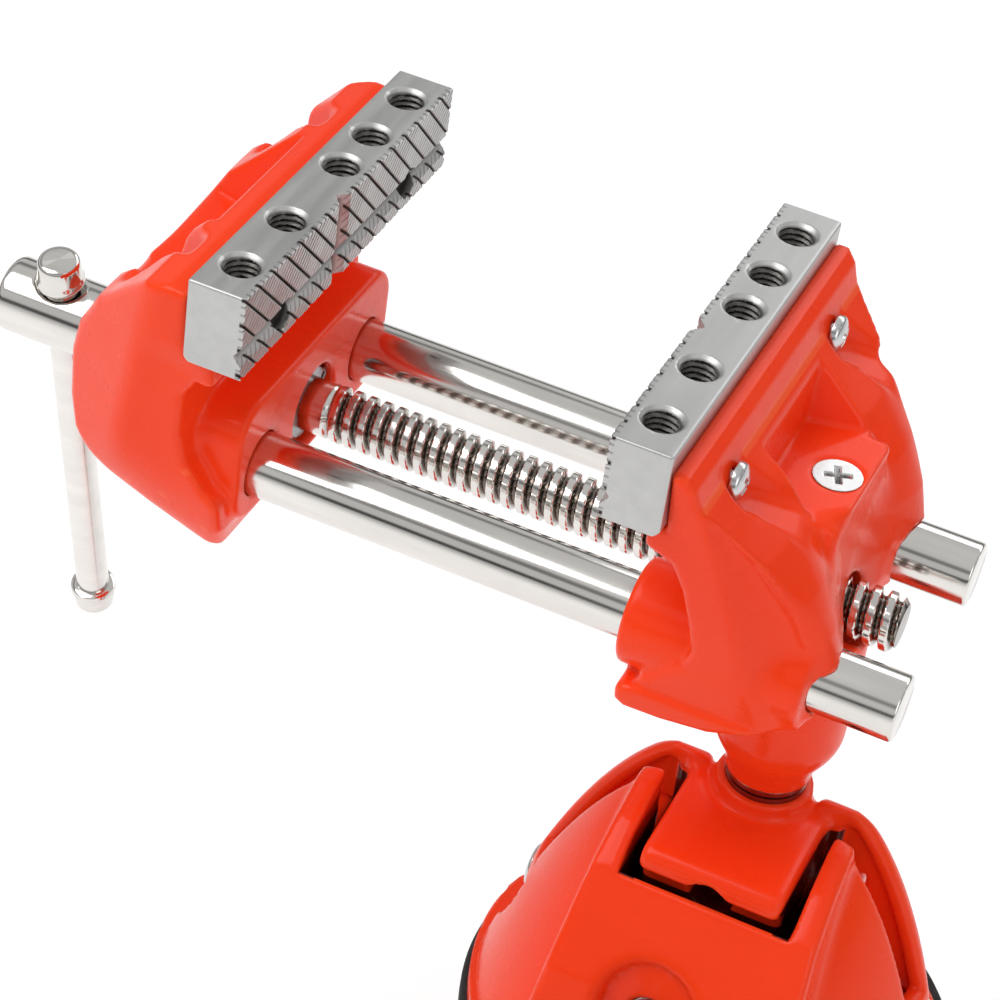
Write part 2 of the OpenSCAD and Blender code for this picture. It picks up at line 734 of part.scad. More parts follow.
base_housing();
base_rubber_pad();
pad_screws();
tilt_axle();
lock_shoe();
lock_stud();
lock_knob();
lock_knob_insert();
tilt_head();
swivel_set_screw();
neck_post();
neck_collar();
neck_washer();
neck_clip();
fixed_jaw_body();
fixed_jaw_plate();
fixed_plate_screws();
screw_nut();
nut_lock_screw();
moving_jaw_body();
moving_jaw_plate();
moving_plate_screws();
front_guide_rod();
rear_guide_rod();
rod_pins();
lead_screw();
retaining_ring();
front_thrust_washer();
rear_thrust_washer();
handle_bar();
handle_upper_cap();
handle_lower_cap();
clamp_screw();
clamp_pad();
clamp_pad_rubber();
clamp_pad_ring();
clamp_bar();
clamp_bar_caps();
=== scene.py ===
"""Looks of the clamp-on swivel vise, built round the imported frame. Shapes are in millimetres."""
import functools
import json
import math

import bpy
import numpy as np
from mathutils import Matrix, Vector


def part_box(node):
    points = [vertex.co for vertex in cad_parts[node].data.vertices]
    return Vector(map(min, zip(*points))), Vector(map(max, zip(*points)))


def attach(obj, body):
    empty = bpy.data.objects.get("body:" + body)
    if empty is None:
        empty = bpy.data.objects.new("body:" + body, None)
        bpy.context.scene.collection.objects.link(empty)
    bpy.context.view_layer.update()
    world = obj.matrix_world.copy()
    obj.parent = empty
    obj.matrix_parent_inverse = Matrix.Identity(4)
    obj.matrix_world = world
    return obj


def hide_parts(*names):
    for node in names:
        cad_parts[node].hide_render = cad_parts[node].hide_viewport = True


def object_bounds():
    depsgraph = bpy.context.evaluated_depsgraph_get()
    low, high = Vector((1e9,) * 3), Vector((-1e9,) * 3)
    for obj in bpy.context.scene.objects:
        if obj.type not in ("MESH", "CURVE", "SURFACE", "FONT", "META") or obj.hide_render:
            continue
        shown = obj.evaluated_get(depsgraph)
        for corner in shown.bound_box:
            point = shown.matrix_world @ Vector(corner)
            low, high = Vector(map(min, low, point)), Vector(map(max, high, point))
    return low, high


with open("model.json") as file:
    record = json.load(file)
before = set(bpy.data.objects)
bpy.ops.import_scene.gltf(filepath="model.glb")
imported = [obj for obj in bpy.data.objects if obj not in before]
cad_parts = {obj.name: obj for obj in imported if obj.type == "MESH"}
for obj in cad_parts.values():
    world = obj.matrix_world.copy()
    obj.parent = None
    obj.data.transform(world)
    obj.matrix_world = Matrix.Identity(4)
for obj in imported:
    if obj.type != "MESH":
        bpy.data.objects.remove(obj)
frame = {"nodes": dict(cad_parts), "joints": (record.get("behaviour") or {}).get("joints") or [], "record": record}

cad_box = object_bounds()
MM = 1000.0
nodes = frame["nodes"]
record = frame["record"]
joints = {joint["name"]: joint for joint in frame["joints"]}


# ---------------------------------------------------------------- sizes, from the frame

def box_mm(node):
    """Lowest and highest corner of a CAD node, in millimetres."""
    low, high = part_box(node)
    return np.array(low) * MM, np.array(high) * MM


fixed_low, fixed_high = box_mm("fixed_jaw_plate")
moving_high = box_mm("moving_jaw_plate")[1]
rod_low, rod_high = box_mm("front_guide_rod")
screw_low, screw_high = box_mm("lead_screw")
post_high = box_mm("neck_post")[1]
collar_low, collar_high = box_mm("neck_collar")
pad_high = box_mm("base_rubber_pad")[1]
axle_low, axle_high = box_mm("tilt_axle")
swivel_low, swivel_high = box_mm("clamp_pad")
clamp_low = box_mm("clamp_screw")[0]
clamp_bar_low, clamp_bar_high = box_mm("clamp_bar")
rubber_low, rubber_high = box_mm("clamp_pad_rubber")
stud_low, stud_high = box_mm("lock_stud")

FIXED_X = fixed_low[0]
MOVING_X = moving_high[0]
JAW_TOP = fixed_high[2]
HALF_LEN = fixed_high[1]
PLATE_T = fixed_high[0] - fixed_low[0]
PLATE_H = fixed_high[2] - fixed_low[2]
ROD_R = (rod_high[2] - rod_low[2]) / 2
ROD_Y = -(rod_high[1] + rod_low[1]) / 2
ROD_Z = (rod_high[2] + rod_low[2]) / 2
ROD_DROP = JAW_TOP - ROD_Z
NECK_X = -FIXED_X                       # neck axis, behind the fixed grip face
SEAT_Z = collar_low[2] - 0.1
COLLAR_TOP = collar_high[2]
PAD_T = pad_high[2]
BASE_R = pad_high[0]
POST_R = post_high[0]
TILT_Y = -(axle_high[1] + axle_low[1]) / 2
TILT_Z = (axle_high[2] + axle_low[2]) / 2
AXLE_R = (axle_high[2] - axle_low[2]) / 2
SCREW_R = 4.6
SCREW_PITCH = 2.5
HEAD_R = (screw_high[1] - screw_low[1]) / 2
HEAD_START = 36.4                       # lead screw head, behind the moving grip face
BAR_R = 2.9
CLAMP_R = 5.0

# jaw-local stations: x away from the gap, z down from the jaw top
COARSE_PITCH = 4.4                      # grooves of the grip faces
FINE_PITCH = 1.4
PEG_Y = (-27.4, -13.1, 4.8, 15.1, 27.7)
PEG_DEPTH = 12
SCREW_Y = HALF_LEN - 13.7
SCREW_DROP = 10.6
SCREW_SEAT = 15
VALLEY_FLOOR = -19.4
NUT_START = 12
NUT_END = 26

DOME_H = 63.4
DOME_POWER = 0.372
PAD_SCREW_RING = 35.5
PAD_SCREW_TURNS = np.radians((20, 160, 90))
WALL = 3.6
HOOD_T = WALL - 0.4
SLOT_HALF = 14.2
CUT_Z = SEAT_Z - 5.4
CHEEK_TOP = SEAT_Z + 2
CHEEK_Y = -7                            # rear face of the cheeks
EAR_RECESS_R = 9.6
BLOCK_FLOOR = SEAT_Z - 14
CREST = SEAT_Z + 4.2 - TILT_Z           # y plus z of the slope behind the neck, from the tilt axis
LOW_CREST = CREST - 4.3                 # the same, straight behind the neck
CORE_R = CREST / math.sqrt(2) - HOOD_T - 0.5
CORE_HALF = 19                          # half width of the core behind the cheeks
HUB_R = 13
HEAD_HALF = 11.8
NOTCH_HALF = 9.2                        # half the gap between the hood's two shoulders
HOOD_REAR = 4                           # rear face of the hood, from the tilt axis
SEAT_RISE = 2.6                         # raised ring of the block under the neck
LOCK_X = (stud_low[0] + stud_high[0]) / 2
LOCK_R = (stud_high[0] - stud_low[0]) / 2
ARCH_R = 7.6
ARCH_LIFT = 2.1
KNOB_AT = 49                            # knob, from the tilt axis along the lock axis
ARM_IN = -35
ARM_OUT = -48
ARM_HALF = 17
BOSS_TOP = -54
BOSS_BOTTOM = -66


# ---------------------------------------------------------------- signed distances

def round_min(a, b, r):
    """Union of two shapes with a fillet of about r."""
    blend = np.maximum(r - np.abs(a - b), 0) / r
    return np.minimum(a, b) - blend * blend * r / 4


def round_max(a, b, r):
    """Intersection of two shapes with its edge rounded by about r."""
    return -round_min(-a, -b, r)


def cut(body, tool, r):
    """What is left of a body when a tool is taken away, its new edges rounded by about r."""
    return round_max(body, -tool, r)


def both(*shapes):
    """Sharp-edged intersection."""
    return functools.reduce(np.maximum, shapes)


def without(body, *tools):
    """A body less the space that its tools share, with sharp edges."""
    return np.maximum(body, -both(*tools))


def smooth(t):
    """0 to 1 with soft ends."""
    t = np.clip(t, 0, 1)
    return t * t * (3 - 2 * t)


def between(value, low, high):
    """Slab between two planes."""
    return np.maximum(low - value, value - high)


def disc(u, v, r):
    """Round bar along the third axis."""
    return np.hypot(u, v) - r


def round_box(u, v, half_u, half_v, r):
    """Rectangle with rounded corners."""
    du = np.abs(u) - half_u + r
    dv = np.abs(v) - half_v + r
    outside = np.hypot(np.maximum(du, 0), np.maximum(dv, 0))
    return outside + np.minimum(np.maximum(du, dv), 0) - r


def outline(u, v, points):
    """Signed distance to a closed outline."""
    u, v = np.broadcast_arrays(u, v)
    nearest = np.full(u.shape, 1e9)
    inside = np.zeros(u.shape, bool)
    for (au, av), (bu, bv) in zip(points, points[1:] + points[:1]):
        eu = bu - au
        ev = bv - av
        t = np.clip(((u - au) * eu + (v - av) * ev) / (eu * eu + ev * ev), 0, 1)
        nearest = np.minimum(nearest, np.hypot(u - au - t * eu, v - av - t * ev))
        if abs(ev) > 1e-9:
            inside ^= ((av > v) != (bv > v)) & (u < au + (v - av) * eu / ev)
    return np.where(inside, -nearest, nearest)


def arc(centre, r, start, end, count=6):
    """Points of an arc, angles in degrees."""
    angles = np.radians(np.linspace(start, end, count + 1))
    return [(centre[0] + r * math.cos(a), centre[1] + r * math.sin(a)) for a in angles]


# ---------------------------------------------------------------- meshes

CORNERS = [(i, j, k) for i in (0, 1) for j in (0, 1) for k in (0, 1)]


def frame_matrix(origin, x_axis, y_axis, z_axis):
    """Place of a piece's own frame: origin and axes in the row frame."""
    matrix = np.eye(4)
    matrix[:3, 0] = x_axis
    matrix[:3, 1] = y_axis
    matrix[:3, 2] = z_axis
    matrix[:3, 3] = origin
    return matrix


IDENTITY = np.eye(4)


def mesh_piece(name, points, faces, place=IDENTITY, sharp=None):
    """A Blender object from points in millimetres in a piece's own frame."""
    points = np.asarray(points, float) @ place[:3, :3].T + place[:3, 3]
    if np.linalg.det(place[:3, :3]) < 0:
        faces = [face[::-1] for face in faces]
    mesh = bpy.data.meshes.new(name)
    mesh.from_pydata((points / MM).tolist(), [], faces)
    mesh.polygons.foreach_set("use_smooth", [True] * len(faces))
    if sharp is not None:
        mesh.set_sharp_from_angle(angle=math.radians(sharp))
    piece = bpy.data.objects.new(name, mesh)
    bpy.context.scene.collection.objects.link(piece)
    return piece


def surface(name, shape, low, high, step, place=IDENTITY, sharp=None):
    """Mesh of the space where shape(x, y, z) is negative, with one point in each cell it crosses."""
    low = np.array(low, float)
    axes = [np.arange(a, b + step, step) for a, b in zip(low, high)]
    size = [len(a) for a in axes]
    field = np.array(np.broadcast_to(shape(*np.ix_(*axes)), size), dtype=np.float32)
    solid = field < 0
    cells = [n - 1 for n in size]
    count = np.zeros(cells, np.int8)
    for i, j, k in CORNERS:
        count += solid[i:i + cells[0], j:j + cells[1], k:k + cells[2]]
    mixed = np.argwhere((count > 0) & (count < 8))
    index = np.full(cells, -1, np.int64)
    index[tuple(mixed.T)] = np.arange(len(mixed))
    total = np.zeros((len(mixed), 3))
    hits = np.zeros(len(mixed))
    for axis in range(3):
        for corner in CORNERS:
            if corner[axis]:
                continue
            near = mixed + corner
            far = near.copy()
            far[:, axis] += 1
            a = field[tuple(near.T)]
            b = field[tuple(far.T)]
            crossed = (a < 0) != (b < 0)
            point = near.astype(float)
            point[:, axis] += np.where(crossed, a / np.where(a == b, 1, a - b), 0)
            total += np.where(crossed[:, None], point, 0)
            hits += crossed
    points = low + step * total / hits[:, None]
    points = settle(points, shape, step)
    faces = []
    for axis in range(3):
        u = np.eye(3, dtype=int)[(axis + 1) % 3]
        v = np.eye(3, dtype=int)[(axis + 2) % 3]
        ahead = np.eye(3, dtype=int)[axis]
        last = np.array(size) - 1
        grid = np.argwhere(solid[:size[0] - ahead[0], :size[1] - ahead[1], :size[2] - ahead[2]]
                           != solid[ahead[0]:, ahead[1]:, ahead[2]:])
        grid = grid[((grid - u - v >= 0) | (ahead > 0)).all(1) & ((grid < last) | (ahead > 0)).all(1)]
        ring = [grid, grid - u, grid - u - v, grid - v]
        quads = np.stack([index[tuple(cell.T)] for cell in ring], 1)
        leaves = solid[tuple(grid.T)]
        faces.append(np.where(leaves[:, None], quads, quads[:, ::-1]))
    return mesh_piece(name, points, np.concatenate(faces).tolist(), place, sharp)


def settle(points, shape, step):
    """Moves the points onto the surface itself."""
    nudge = step / 20
    for _ in range(3):
        value = shape(*points.T)
        slope = np.stack([shape(*(points + nudge * unit).T) - value for unit in np.eye(3)], 1) / nudge
        size = np.maximum((slope * slope).sum(1), 0.2)
        move = -slope * (value / size)[:, None]
        points = points + np.clip(move, -0.4 * step, 0.4 * step)
    return points


def grid_faces(rings, around, start_cap, end_cap):
    """Faces of a tube of rings, its ends closed with fans to the two last points."""
    faces = []
    for i in range(rings - 1):
        for j in range(around):
            k = (j + 1) % around
            faces.append((i * around + j, i * around + k, (i + 1) * around + k, (i + 1) * around + j))
    for j in range(around):
        k = (j + 1) % around
        faces.append((start_cap, k, j))
        faces.append((end_cap, (rings - 1) * around + j, (rings - 1) * around + k))
    return faces


def turned(name, profile, place, around=96, sharp=28):
    """A turned part. Its profile is (station along z, radius), from one end to the other."""
    profile = [(s, r) for s, r in profile if r > 0]
    angles = np.arange(around) * 2 * math.pi / around
    points = [(r * math.cos(a), r * math.sin(a), s) for s, r in profile for a in angles]
    points += [(0, 0, profile[0][0]), (0, 0, profile[-1][0])]
    rings = len(profile)
    faces = grid_faces(rings, around, rings * around, rings * around + 1)
    return mesh_piece(name, points, faces, place, sharp)


def ring_part(name, profile, place, around=96, sharp=28):
    """A turned part with a bore. Its profile is a closed outline of (station along z, radius)."""
    angles = np.arange(around) * 2 * math.pi / around
    points = [(r * math.cos(a), r * math.sin(a), s) for s, r in profile for a in angles]
    faces = []
    for i in range(len(profile)):
        n = (i + 1) % len(profile)
        for j in range(around):
            k = (j + 1) % around
            faces.append((i * around + j, i * around + k, n * around + k, n * around + j))
    return mesh_piece(name, points, faces, place, sharp)


def rounded_ends(length, r, edge, count=4):
    """Profile of a bar from 0 to length with its edges rounded."""
    start = [(edge - edge * math.cos(a), r - edge + edge * math.sin(a))
             for a in np.linspace(0, math.pi / 2, count + 1)]
    end = [(length - s, radius) for s, radius in reversed(start)]
    return start + end


def washer_profile(z0, z1, bore, r, edge=0.15):
    """Closed outline of a washer with its edges broken."""
    return [(z0, bore + edge), (z0, r - edge), (z0 + edge, r), (z1 - edge, r),
            (z1, r - edge), (z1, bore + edge), (z1 - edge, bore), (z0 + edge, bore)]


def threaded(name, length, r, depth, pitch, place, plain=0.0, chamfer=1.0, around=72, crest=0.42):
    """A right-hand screw along z with rounded crests; its first stretch can be plain."""
    stations = np.arange(0, length + 0.06, pitch / 18)
    stations = stations[stations < length - 0.02]
    stations = np.append(stations, length)
    angles = np.arange(around) * 2 * math.pi / around
    s, a = np.meshgrid(stations, angles, indexing="ij")
    phase = np.abs((s / pitch - a / (2 * math.pi)) % 1 - 0.5) * 2
    valley = smooth((phase - crest) / (1 - crest) * 1.35)
    fade = smooth((s - plain) / pitch) if plain else 1
    radius = r - depth * valley * fade - (0.15 * depth * (1 - fade) if plain else 0)
    radius = np.minimum(radius, r - chamfer + (length - s))
    radius = np.minimum(radius, r - 0.35 * chamfer + s) if not plain else radius
    points = np.stack([radius * np.cos(a), radius * np.sin(a), s], 2).reshape(-1, 3)
    points = np.vstack([points, [(0, 0, 0), (0, 0, length)]])
    rings = len(stations)
    faces = grid_faces(rings, around, rings * around, rings * around + 1)
    return mesh_piece(name, points, faces, place, 40)


X, Y, Z = np.eye(3)


def along_x(x, y, z):
    """Own frame with its z along the row's X."""
    return frame_matrix((x, y, z), Y, Z, X)


ON_FIXED = frame_matrix((FIXED_X, 0, JAW_TOP), X, Y, Z)
ON_MOVING = frame_matrix((MOVING_X, 0, JAW_TOP), -X, Y, Z)
BAR_AXIS = np.array(joints["bar_slide"]["axis"], float)
BAR_STATION = 48.6
ON_BAR = frame_matrix((MOVING_X - BAR_STATION, 0, ROD_Z), X, np.cross(BAR_AXIS, X), BAR_AXIS)
LOCK_AXIS = np.array(joints["lock_turn"]["axis"], float)
ON_LOCK = frame_matrix((LOCK_X, -TILT_Y, TILT_Z), X, np.cross(LOCK_AXIS, X), LOCK_AXIS)


# ---------------------------------------------------------------- materials

def new_material(name):
    """A material with its principled shader and a place to hang more nodes on."""
    material = bpy.data.materials.new(name)
    material.use_nodes = True
    return material, material.node_tree


def shader(tree):
    return tree.nodes["Principled BSDF"]


def texture(tree, kind, scale, stretch=(1, 1, 1), **settings):
    """A procedural texture in the object's own space, stretched along its axes."""
    place = tree.nodes.new("ShaderNodeTexCoord")
    mapping = tree.nodes.new("ShaderNodeMapping")
    mapping.inputs["Scale"].default_value = stretch
    node = tree.nodes.new(kind)
    node.inputs["Scale"].default_value = scale
    for socket, value in settings.items():
        node.inputs[socket].default_value = value
    tree.links.new(place.outputs["Object"], mapping.inputs["Vector"])
    tree.links.new(mapping.outputs["Vector"], node.inputs["Vector"])
    return node.outputs[0]


def noise(tree, scale, stretch=(1, 1, 1), detail=4.0):
    return texture(tree, "ShaderNodeTexNoise", scale, stretch, Detail=detail)


def spread(tree, value, low, high, to_low, to_high):
    """Maps a value from one range onto another."""
    node = tree.nodes.new("ShaderNodeMapRange")
    node.inputs["From Min"].default_value = low
    node.inputs["From Max"].default_value = high
    node.inputs["To Min"].default_value = to_low
    node.inputs["To Max"].default_value = to_high
    tree.links.new(value, node.inputs["Value"])
    return node.outputs["Result"]


def mixed_colour(tree, factor, first, second):
    """Colour between two others; either may be a socket."""
    node = tree.nodes.new("ShaderNodeMix")
    node.data_type = "RGBA"
    tree.links.new(factor, node.inputs["Factor"])
    for socket, colour in (("A", first), ("B", second)):
        target = [s for s in node.inputs if s.name == socket and s.type == "RGBA"][0]
        if isinstance(colour, tuple):
            target.default_value = (*colour, 1)
        else:
            tree.links.new(colour, target)
    return [s for s in node.outputs if s.type == "RGBA"][0]


def bump(tree, heights):
    """Chains bumps of (height, distance in metres, strength) into the shader's normal."""
    last = None
    for height, distance, strength in heights:
        node = tree.nodes.new("ShaderNodeBump")
        node.inputs["Distance"].default_value = distance
        node.inputs["Strength"].default_value = strength
        tree.links.new(height, node.inputs["Height"])
        if last:
            tree.links.new(last, node.inputs["Normal"])
        last = node.outputs["Normal"]
    tree.links.new(last, shader(tree).inputs["Normal"])


def edges(tree, low, high):
    """0 on flat ground, 1 on sharp outer edges; with low above high, 1 in grooves."""
    geometry = tree.nodes.new("ShaderNodeNewGeometry")
    return spread(tree, geometry.outputs["Pointiness"], low, high, 0, 1)


def arithmetic(tree, operation, first, second=0.0):
    """Result of a math node; either input may be a socket or a number."""
    node = tree.nodes.new("ShaderNodeMath")
    node.operation = operation
    for socket, value in zip(node.inputs, (first, second)):
        if isinstance(value, (int, float)):
            socket.default_value = value
        else:
            tree.links.new(value, socket)
    return node.outputs[0]


def minus(tree, first, second):
    return arithmetic(tree, "SUBTRACT", first, second)


def times(tree, *factors):
    """Product of two or more values."""
    result = factors[0]
    for factor in factors[1:]:
        result = arithmetic(tree, "MULTIPLY", result, factor)
    return result


def position(tree):
    """X, Y and Z in the row frame, in millimetres."""
    place = tree.nodes.new("ShaderNodeTexCoord")
    axes = tree.nodes.new("ShaderNodeSeparateXYZ")
    tree.links.new(place.outputs["Object"], axes.inputs["Vector"])
    return [times(tree, axis, MM) for axis in axes.outputs]


def inside_box(tree, axes, low, high):
    """1 inside a box of the row frame, 0 outside, over a third of a millimetre."""
    result = None
    for axis, start, end in zip(axes, low, high):
        nearest = arithmetic(tree, "MINIMUM", minus(tree, axis, start), minus(tree, end, axis))
        inward = spread(tree, nearest, 0, 0.3, 0, 1)
        result = arithmetic(tree, "MINIMUM", result, inward) if result else inward
    return result


def slot_painted_shade(tree):
    """Painted shade: the slot between the block of the tilt head and the base is painted near-black."""
    x, y, z = position(tree)
    across = arithmetic(tree, "ABSOLUTE", x)
    place = (across, y, z)
    sides = inside_box(tree, place, (HEAD_HALF - 0.3, -24.5, PAD_T), (SLOT_HALF + 0.3, 4, SEAT_Z - 2.5))
    front = inside_box(tree, place, (-1, -24.5, PAD_T), (SLOT_HALF + 0.3, -15, SEAT_Z - 8))
    return arithmetic(tree, "MAXIMUM", sides, front)


def paint_material():
    """Glossy orange-red powder coat with a slight orange peel, thinner on edges."""
    material, tree = new_material("casting_paint")
    bsdf = shader(tree)
    cloud = spread(tree, noise(tree, 22), 0.3, 0.7, 0, 1)
    ground = mixed_colour(tree, cloud, (0.96, 0.046, 0.007), (1.0, 0.058, 0.010))
    worn = mixed_colour(tree, edges(tree, 0.53, 0.62), ground, (1.0, 0.10, 0.025))
    speck = spread(tree, noise(tree, 900, detail=1.0), 0.80, 0.83, 0, 0.5)
    specked = mixed_colour(tree, speck, worn, (0.40, 0.02, 0.01))
    # painted shade: the slot between the tilt head's block and the base is painted near-black
    final = mixed_colour(tree, slot_painted_shade(tree), specked, (0.05, 0.004, 0.002))
    tree.links.new(final, bsdf.inputs["Base Color"])
    tree.links.new(spread(tree, noise(tree, 160), 0.3, 0.7, 0.24, 0.34), bsdf.inputs["Roughness"])
    bsdf.inputs["Coat Weight"].default_value = 0.16
    bsdf.inputs["Coat Roughness"].default_value = 0.06
    bsdf.inputs["Specular IOR Level"].default_value = 0.12
    peel = noise(tree, 260, detail=2.0)
    bump(tree, [(peel, 0.00012, 0.12), (noise(tree, 1100, detail=1.0), 0.00002, 0.1)])
    return material


def steel_material(name, colour, roughness, grain_scale, stretch, depth, grime_and_shade, grime_and_shade_mask=None):
    """Bare metal with grain, stains, grooves darkened with grime and painted shade, and brighter edges; the
    optional mask function says where more of this grime and painted shade lies.
    """
    material, tree = new_material(name)
    bsdf = shader(tree)
    grain = noise(tree, grain_scale, stretch, 6.0)
    dark = tuple(c * 0.86 for c in colour)
    ground = mixed_colour(tree, spread(tree, grain, 0.3, 0.7, 0, 1), dark, colour)
    blotch = spread(tree, noise(tree, 90), 0.52, 0.75, 0, 0.35)
    stained = mixed_colour(tree, blotch, ground, tuple(c * 0.8 for c in colour))
    bright = tuple(min(1.0, c * 1.18) for c in colour)
    edged = mixed_colour(tree, edges(tree, 0.54, 0.62), stained, bright)
    # grooves and creases darkened: grime and painted shade
    final = mixed_colour(tree, edges(tree, 0.47, 0.40), edged, grime_and_shade)
    # more darkening where the optional mask says: grime and painted shade
    if grime_and_shade_mask:
        final = mixed_colour(tree, grime_and_shade_mask(tree), final, grime_and_shade)
    tree.links.new(final, bsdf.inputs["Base Color"])
    bsdf.inputs["Metallic"].default_value = 1.0
    fine = spread(tree, grain, 0.25, 0.75, roughness[0], roughness[1])
    tree.links.new(fine, bsdf.inputs["Roughness"])
    bump(tree, [(grain, depth, 0.35), (noise(tree, 350, detail=3.0), depth, 0.15)])
    return material


def plate_grime_and_shade(tree):
    """Grime and painted shade in the grooves of the grip faces, and painted shade inside the holes and notches of
    the jaw plates.
    """
    x, y, z = position(tree)
    gap_middle = (FIXED_X + MOVING_X) / 2
    from_middle = arithmetic(tree, "ABSOLUTE", minus(tree, x, gap_middle))
    depth = minus(tree, from_middle, (FIXED_X - MOVING_X) / 2)
    down = minus(tree, z, JAW_TOP)
    coarse = arithmetic(tree, "PINGPONG", arithmetic(tree, "ADD", y, down), COARSE_PITCH / 2)
    fine = arithmetic(tree, "PINGPONG", minus(tree, y, down), FINE_PITCH / 2)
    # grooves of the grip face darkened: grime and painted shade
    coarse_lines = spread(tree, coarse, 0.2, 0.5, 1, 0)
    lines = arithmetic(tree, "MAXIMUM", coarse_lines, spread(tree, fine, 0.05, 0.3, 0.45, 0))
    on_face = times(tree, lines, spread(tree, depth, 0.7, 0.9, 1, 0))
    below_top = spread(tree, down, -0.7, -0.4, 1, 0)
    along = arithmetic(tree, "ABSOLUTE", y)
    within_ends = spread(tree, along, HALF_LEN - 0.6, HALF_LEN - 0.4, 1, 0)
    above_foot = spread(tree, down, -PLATE_H + 0.3, -PLATE_H + 0.6, 0, 1)
    # painted shade: the insides of the holes and notches behind the grip face are darkened
    deep = spread(tree, depth, 0.7, 1.5, 0, 0.8)
    before_back = spread(tree, depth, 8.4, 8.8, 1, 0)
    inside = times(tree, below_top, within_ends, above_foot, deep, before_back)
    return arithmetic(tree, "MAXIMUM", on_face, inside)


def thread_oil_and_shade(tree):
    """Oil and painted shade in the roots of the lead screw's thread."""
    x, y, z = position(tree)
    drop = minus(tree, z, ROD_Z)
    square = arithmetic(tree, "ADD", times(tree, y, y), times(tree, drop, drop))
    reach = arithmetic(tree, "SQRT", square)
    return spread(tree, reach, SCREW_R - 1.05, SCREW_R - 0.3, 0.9, 0)


def soft_material(name, colour, roughness, grain_scale, depth):
    """Rubber or moulded plastic with a fine matt texture and dusty edges."""
    material, tree = new_material(name)
    bsdf = shader(tree)
    grain = texture(tree, "ShaderNodeTexVoronoi", grain_scale)
    dust = spread(tree, noise(tree, 60), 0.45, 0.75, 0, 0.5)
    dusty = tuple(c * 1.9 + 0.01 for c in colour)
    ground = mixed_colour(tree, dust, colour, dusty)
    final = mixed_colour(tree, edges(tree, 0.54, 0.64), ground, tuple(c * 2.4 + 0.02 for c in colour))
    tree.links.new(final, bsdf.inputs["Base Color"])
    tree.links.new(spread(tree, grain, 0.0, 1.0, roughness[0], roughness[1]), bsdf.inputs["Roughness"])
    bump(tree, [(grain, depth, 0.5), (noise(tree, 700), depth, 0.3)])
    return material


materials = {
    "casting_paint": paint_material(),
    "jaw_steel": steel_material("jaw_steel", (0.60, 0.60, 0.59), (0.38, 0.52), 300, (1.4, 0.12, 1.4),
                                0.00006, (0.045, 0.036, 0.03), plate_grime_and_shade),
    "plated_steel": steel_material("plated_steel", (0.80, 0.775, 0.74), (0.09, 0.19), 220,
                                   (0.15, 1.5, 1.5), 0.00001, (0.11, 0.08, 0.06), thread_oil_and_shade),
    "screw_steel": steel_material("screw_steel", (0.70, 0.70, 0.70), (0.18, 0.30), 500, (1, 1, 1),
                                  0.00002, (0.15, 0.13, 0.12)),
    "dark_steel": steel_material("dark_steel", (0.34, 0.34, 0.35), (0.22, 0.36), 500, (1, 1, 1),
                                 0.00002, (0.03, 0.03, 0.03)),
    "collar_steel": steel_material("collar_steel", (0.26, 0.13, 0.105), (0.18, 0.30), 300, (1, 1, 0.2),
                                   0.00002, (0.06, 0.03, 0.02)),
    "nut_bronze": steel_material("nut_bronze", (0.62, 0.42, 0.20), (0.28, 0.40), 300, (0.2, 1, 1),
                                 0.00002, (0.12, 0.08, 0.04)),
    "insert_brass": steel_material("insert_brass", (0.74, 0.56, 0.26), (0.22, 0.34), 300, (1, 1, 0.2),
                                   0.00002, (0.14, 0.10, 0.05)),
    "knob_plastic": soft_material("knob_plastic", (0.020, 0.020, 0.021), (0.42, 0.58), 1500, 0.00003),
    "base_rubber": soft_material("base_rubber", (0.016, 0.016, 0.016), (0.70, 0.88), 900, 0.00005),
}
slot_of = {part["node"]: part["material_slot"] for part in record["subparts"]}
body_of = {node: body for body, members in record["behaviour"]["bodies"].items() for node in members}

for node_name, cad_object in nodes.items():
    cad_object.data.materials.clear()
    cad_object.data.materials.append(materials[slot_of[node_name]])


def finish_piece(piece, node):
    """The piece takes over from a CAD node: its body, its material slot and its place."""
    piece.data.materials.append(materials[slot_of[node]])
    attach(piece, body_of[node])
    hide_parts(node)


# ---------------------------------------------------------------- jaw castings

FIXED_PROFILE = [(9.5, -3.4), (11.6, -3.4), (13.2, -5.2), (14.4, -8.4), (18.2, -12.2), (23.5, -17.7),
                 (27.8, -24.6), (31, -31.1), (32.8, -37), (33.4, -42.5), (32.9, -45.6), (27.5, -49.4),
                 (18.7, -53.3), (12.3, -54.4), (6.4, -54.6), (4.8, -53.4), (4.8, -21), (6.6, -19),
                 (6.8, -PLATE_H), (9.5, -PLATE_H)]
FIXED_HOLLOW = [(-9, -19.5), (7.5, -19.5), (10.9, -21), (12.9, -25.7), (14.5, -32.5), (15.4, -37.8),
                (14.6, -41.5), (11.5, -45), (8.6, -47.2), (7.2, -49.8), (3, -50.6), (-9, -50.6)]
MOVING_PROFILE = [(9.5, -3.2), (13, -3), (17, -4.2), (22.3, -9.6), (28.6, -16.1), (32.4, -23.5),
                  (33.8, -29.7), (33.6, -38.1), (32.2, -43.2), (29.1, -46.2), (25.4, -48.6), (18, -52.3),
                  (10.8, -55), (7.6, -55.9), (5.6, -55), (4.4, -50), (4.4, -22), (5.5, -19.5),
                  (5.6, -PLATE_H), (9.5, -PLATE_H)]
MOVING_HOLLOW = [(-9, -20), (8.4, -20), (10.6, -23.6), (11.1, -31.7), (10.2, -37.1), (7, -41.8),
                 (3.4, -44.4), (-9, -44.6)]


def end_walls(y, z, low_half):
    """Distance to the end walls of a jaw, which lean in towards the bottom."""
    lean = (HALF_LEN - low_half) / 47
    return (np.abs(y) - HALF_LEN + 0.2 + lean * np.maximum(-z - 3, 0)) / math.hypot(1, lean)


